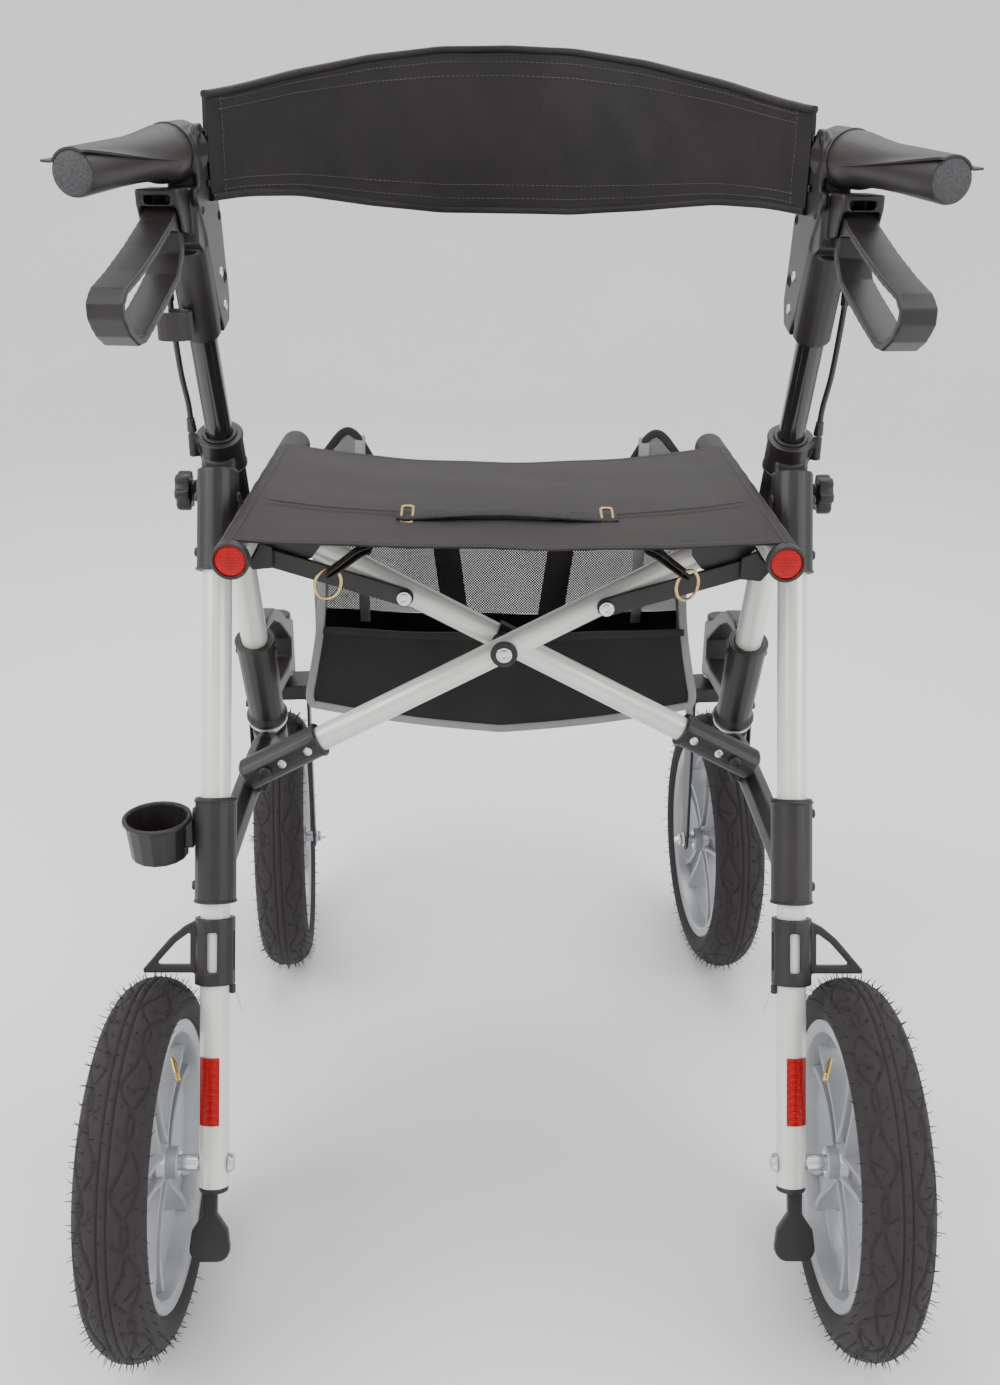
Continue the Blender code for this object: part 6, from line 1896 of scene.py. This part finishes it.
    def straps(self, net: Array, cloth: Array, x: Array) -> list[bpy.types.Object]:
        """Two webbing straps that carry the front panel, and a grey loop near each of its upper corners."""
        made = []
        for tag, place, width, finish, lean in (
            ("l", -0.052, 0.0280, WEBBING, 0.13), ("r", 0.058, 0.0280, WEBBING, -0.13),
            ("corner_l", -0.150, 0.0110, BINDING, 0.0), ("corner_r", 0.150, 0.0110, BINDING, 0.0),
        ):
            outline = rounded(width, 0.0015, 0.0006, 3)
            column = int(np.argmin(np.abs(x - place)))
            inside = np.vstack((cloth[column, -14:], net[column, 1:])) - Y_AXIS * 0.0035
            over = np.array(
                [net[column, -1] + Z_AXIS * 0.0045, net[column, -1] + np.array([0, 0.0035, 0.001])]
            )
            outside = net[column, ::-1][1:12] + Y_AXIS * 0.0035
            line = smooth(np.vstack((inside[::6], over, outside[::4])), 60)
            line[:, 0] -= lean * (line[:, 2] - 0.50)
            band = sweep(outline, line, Y_AXIS + 0.001 * Z_AXIS)
            length = np.concatenate(([0], np.cumsum(np.linalg.norm(np.diff(line, axis=0), axis=1))))
            band.flat = np.stack(np.broadcast_arrays(outline[None, :, 0], length[:, None]), -1).reshape(-1, 2)
            made.append(make(f"bag_strap_{tag}", [band], finish, "left_frame", (), 40))
        return made


@dataclass
class CaneHolder:
    """The stick holder: a tapered cup on the left sleeve and an open clip under the left handle bracket."""

    def build(self) -> None:
        """Softens both mouldings and adds the cup's rolled rim."""
        moulded("cane_cup", CASTING, "left_frame", 0.0008, 3)
        moulded("cane_clip", CASTING, "handle_l", 0.0006, 3)
        low, high = (np.asarray(corner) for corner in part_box("cane_cup"))
        centre = np.array([low[0] + 0.0285, (low[1] + high[1]) / 2, high[2]])
        rim = [
            (0.0257, -0.0040), (0.0284, -0.0034), (0.0297, -0.0018), (0.0294, 0.0002), (0.0276, 0.0010),
            (0.0260, 0.0002), (0.0257, -0.0040)
        ]
        make("cup_rim", [lathe(rim, centre, Z_AXIS, 72)], CASTING, "left_frame")


# Stage


def add_light(
    name: str, place: tuple[float, float, float], target: tuple[float, float, float], size: float,
    power: float
) -> None:
    """A soft square lamp at a place, aimed at a target."""
    data = bpy.data.lights.new(name, "AREA")
    data.shape = "SQUARE"
    data.size = size
    data.energy = power
    lamp = bpy.data.objects.new(name, data)
    bpy.context.scene.collection.objects.link(lamp)
    way = np.asarray(target, float) - np.asarray(place, float)
    lamp.location = place
    lamp.rotation_mode = "QUATERNION"
    lamp.rotation_quaternion = Vector(way.tolist()).to_track_quat("-Z", "Y")


def build_stage() -> None:
    """A pale round floor that curves up into a wall on every side, a pale sky and soft lamps."""
    finish = Finish(
        "pale_backdrop", (0.86, 0.862, 0.862), (0.885, 0.885, 0.882), 0.70,
        grain=Grain(60, 0.0002, 0.05, 0.02), patch_scale=1.2
    )
    turn = np.linspace(0, math.pi / 2, 24)
    run = np.concatenate(([0.0, 1.5, 3.0], 3.6 + 1.8 * np.sin(turn), [5.4]))
    rise = np.concatenate(([0, 0, 0], 1.8 * (1 - np.cos(turn)), [3.4]))
    sheet = lathe(list(zip(run.tolist(), rise.tolist())), np.zeros(3), Z_AXIS, 96)
    mesh = bpy.data.meshes.new("backdrop")
    mesh.from_pydata(sheet.points.tolist(), [], sheet.faces)
    mesh.shade_smooth()
    mesh.materials.append(finish.material())
    floor = bpy.data.objects.new("backdrop", mesh)
    bpy.context.scene.collection.objects.link(floor)
    world = bpy.data.worlds.new("pale_sky")
    bpy.context.scene.world = world
    world.use_nodes = True
    sky = world.node_tree.nodes["Background"]
    sky.inputs["Color"].default_value = (0.97, 0.98, 1.0, 1.0)
    sky.inputs["Strength"].default_value = 1.0
    add_light("window_lamp", (-2.2, -1.2, 2.4), (0, 0, 0.5), 2.2, 66)
    add_light("fill_lamp", (2.4, -1.6, 1.9), (0, 0, 0.5), 2.0, 40)
    add_light("top_lamp", (0.2, 0.8, 3.0), (0, 0.1, 0.4), 2.6, 50)


def build_camera() -> None:
    """The camera: set by its place, its yaw, pitch and roll, and a lens for a 36 mm sensor."""
    yaw, pitch, roll = 0.0134, 0.3991, 0.0092
    ahead = np.array([math.sin(yaw) * math.cos(pitch), math.cos(yaw) * math.cos(pitch), -math.sin(pitch)])
    right = np.array([math.cos(yaw), -math.sin(yaw), 0.0])
    up = np.cross(right, ahead)
    side = math.cos(roll) * right + math.sin(roll) * up
    top = -math.sin(roll) * right + math.cos(roll) * up
    data = bpy.data.cameras.new("viewer")
    data.lens = 35.82
    data.sensor_width = 36.0
    camera = bpy.data.objects.new("viewer", data)
    bpy.context.scene.collection.objects.link(camera)
    matrix = np.eye(4)
    matrix[:3, 0], matrix[:3, 1], matrix[:3, 2] = side, top, -ahead
    matrix[:3, 3] = (-0.0191, -0.9386 + REAR_AXLE_Y, 0.993)
    camera.matrix_world = Matrix(matrix.tolist())
    bpy.context.scene.camera = camera


def main() -> None:
    """Builds the whole object in order, then the stage and camera."""
    logging.basicConfig(level=logging.INFO, format="%(message)s")
    build_camera()
    for tag, side in SIDES:
        side_frame = SideFrame(tag, side)
        side_frame.build()
        Handle(side_frame).build()
    for part in (Brace(), Seat(), Backrest(), Basket(), CaneHolder()):
        part.build()
    build_stage()


if __name__ == "__main__":
    main()
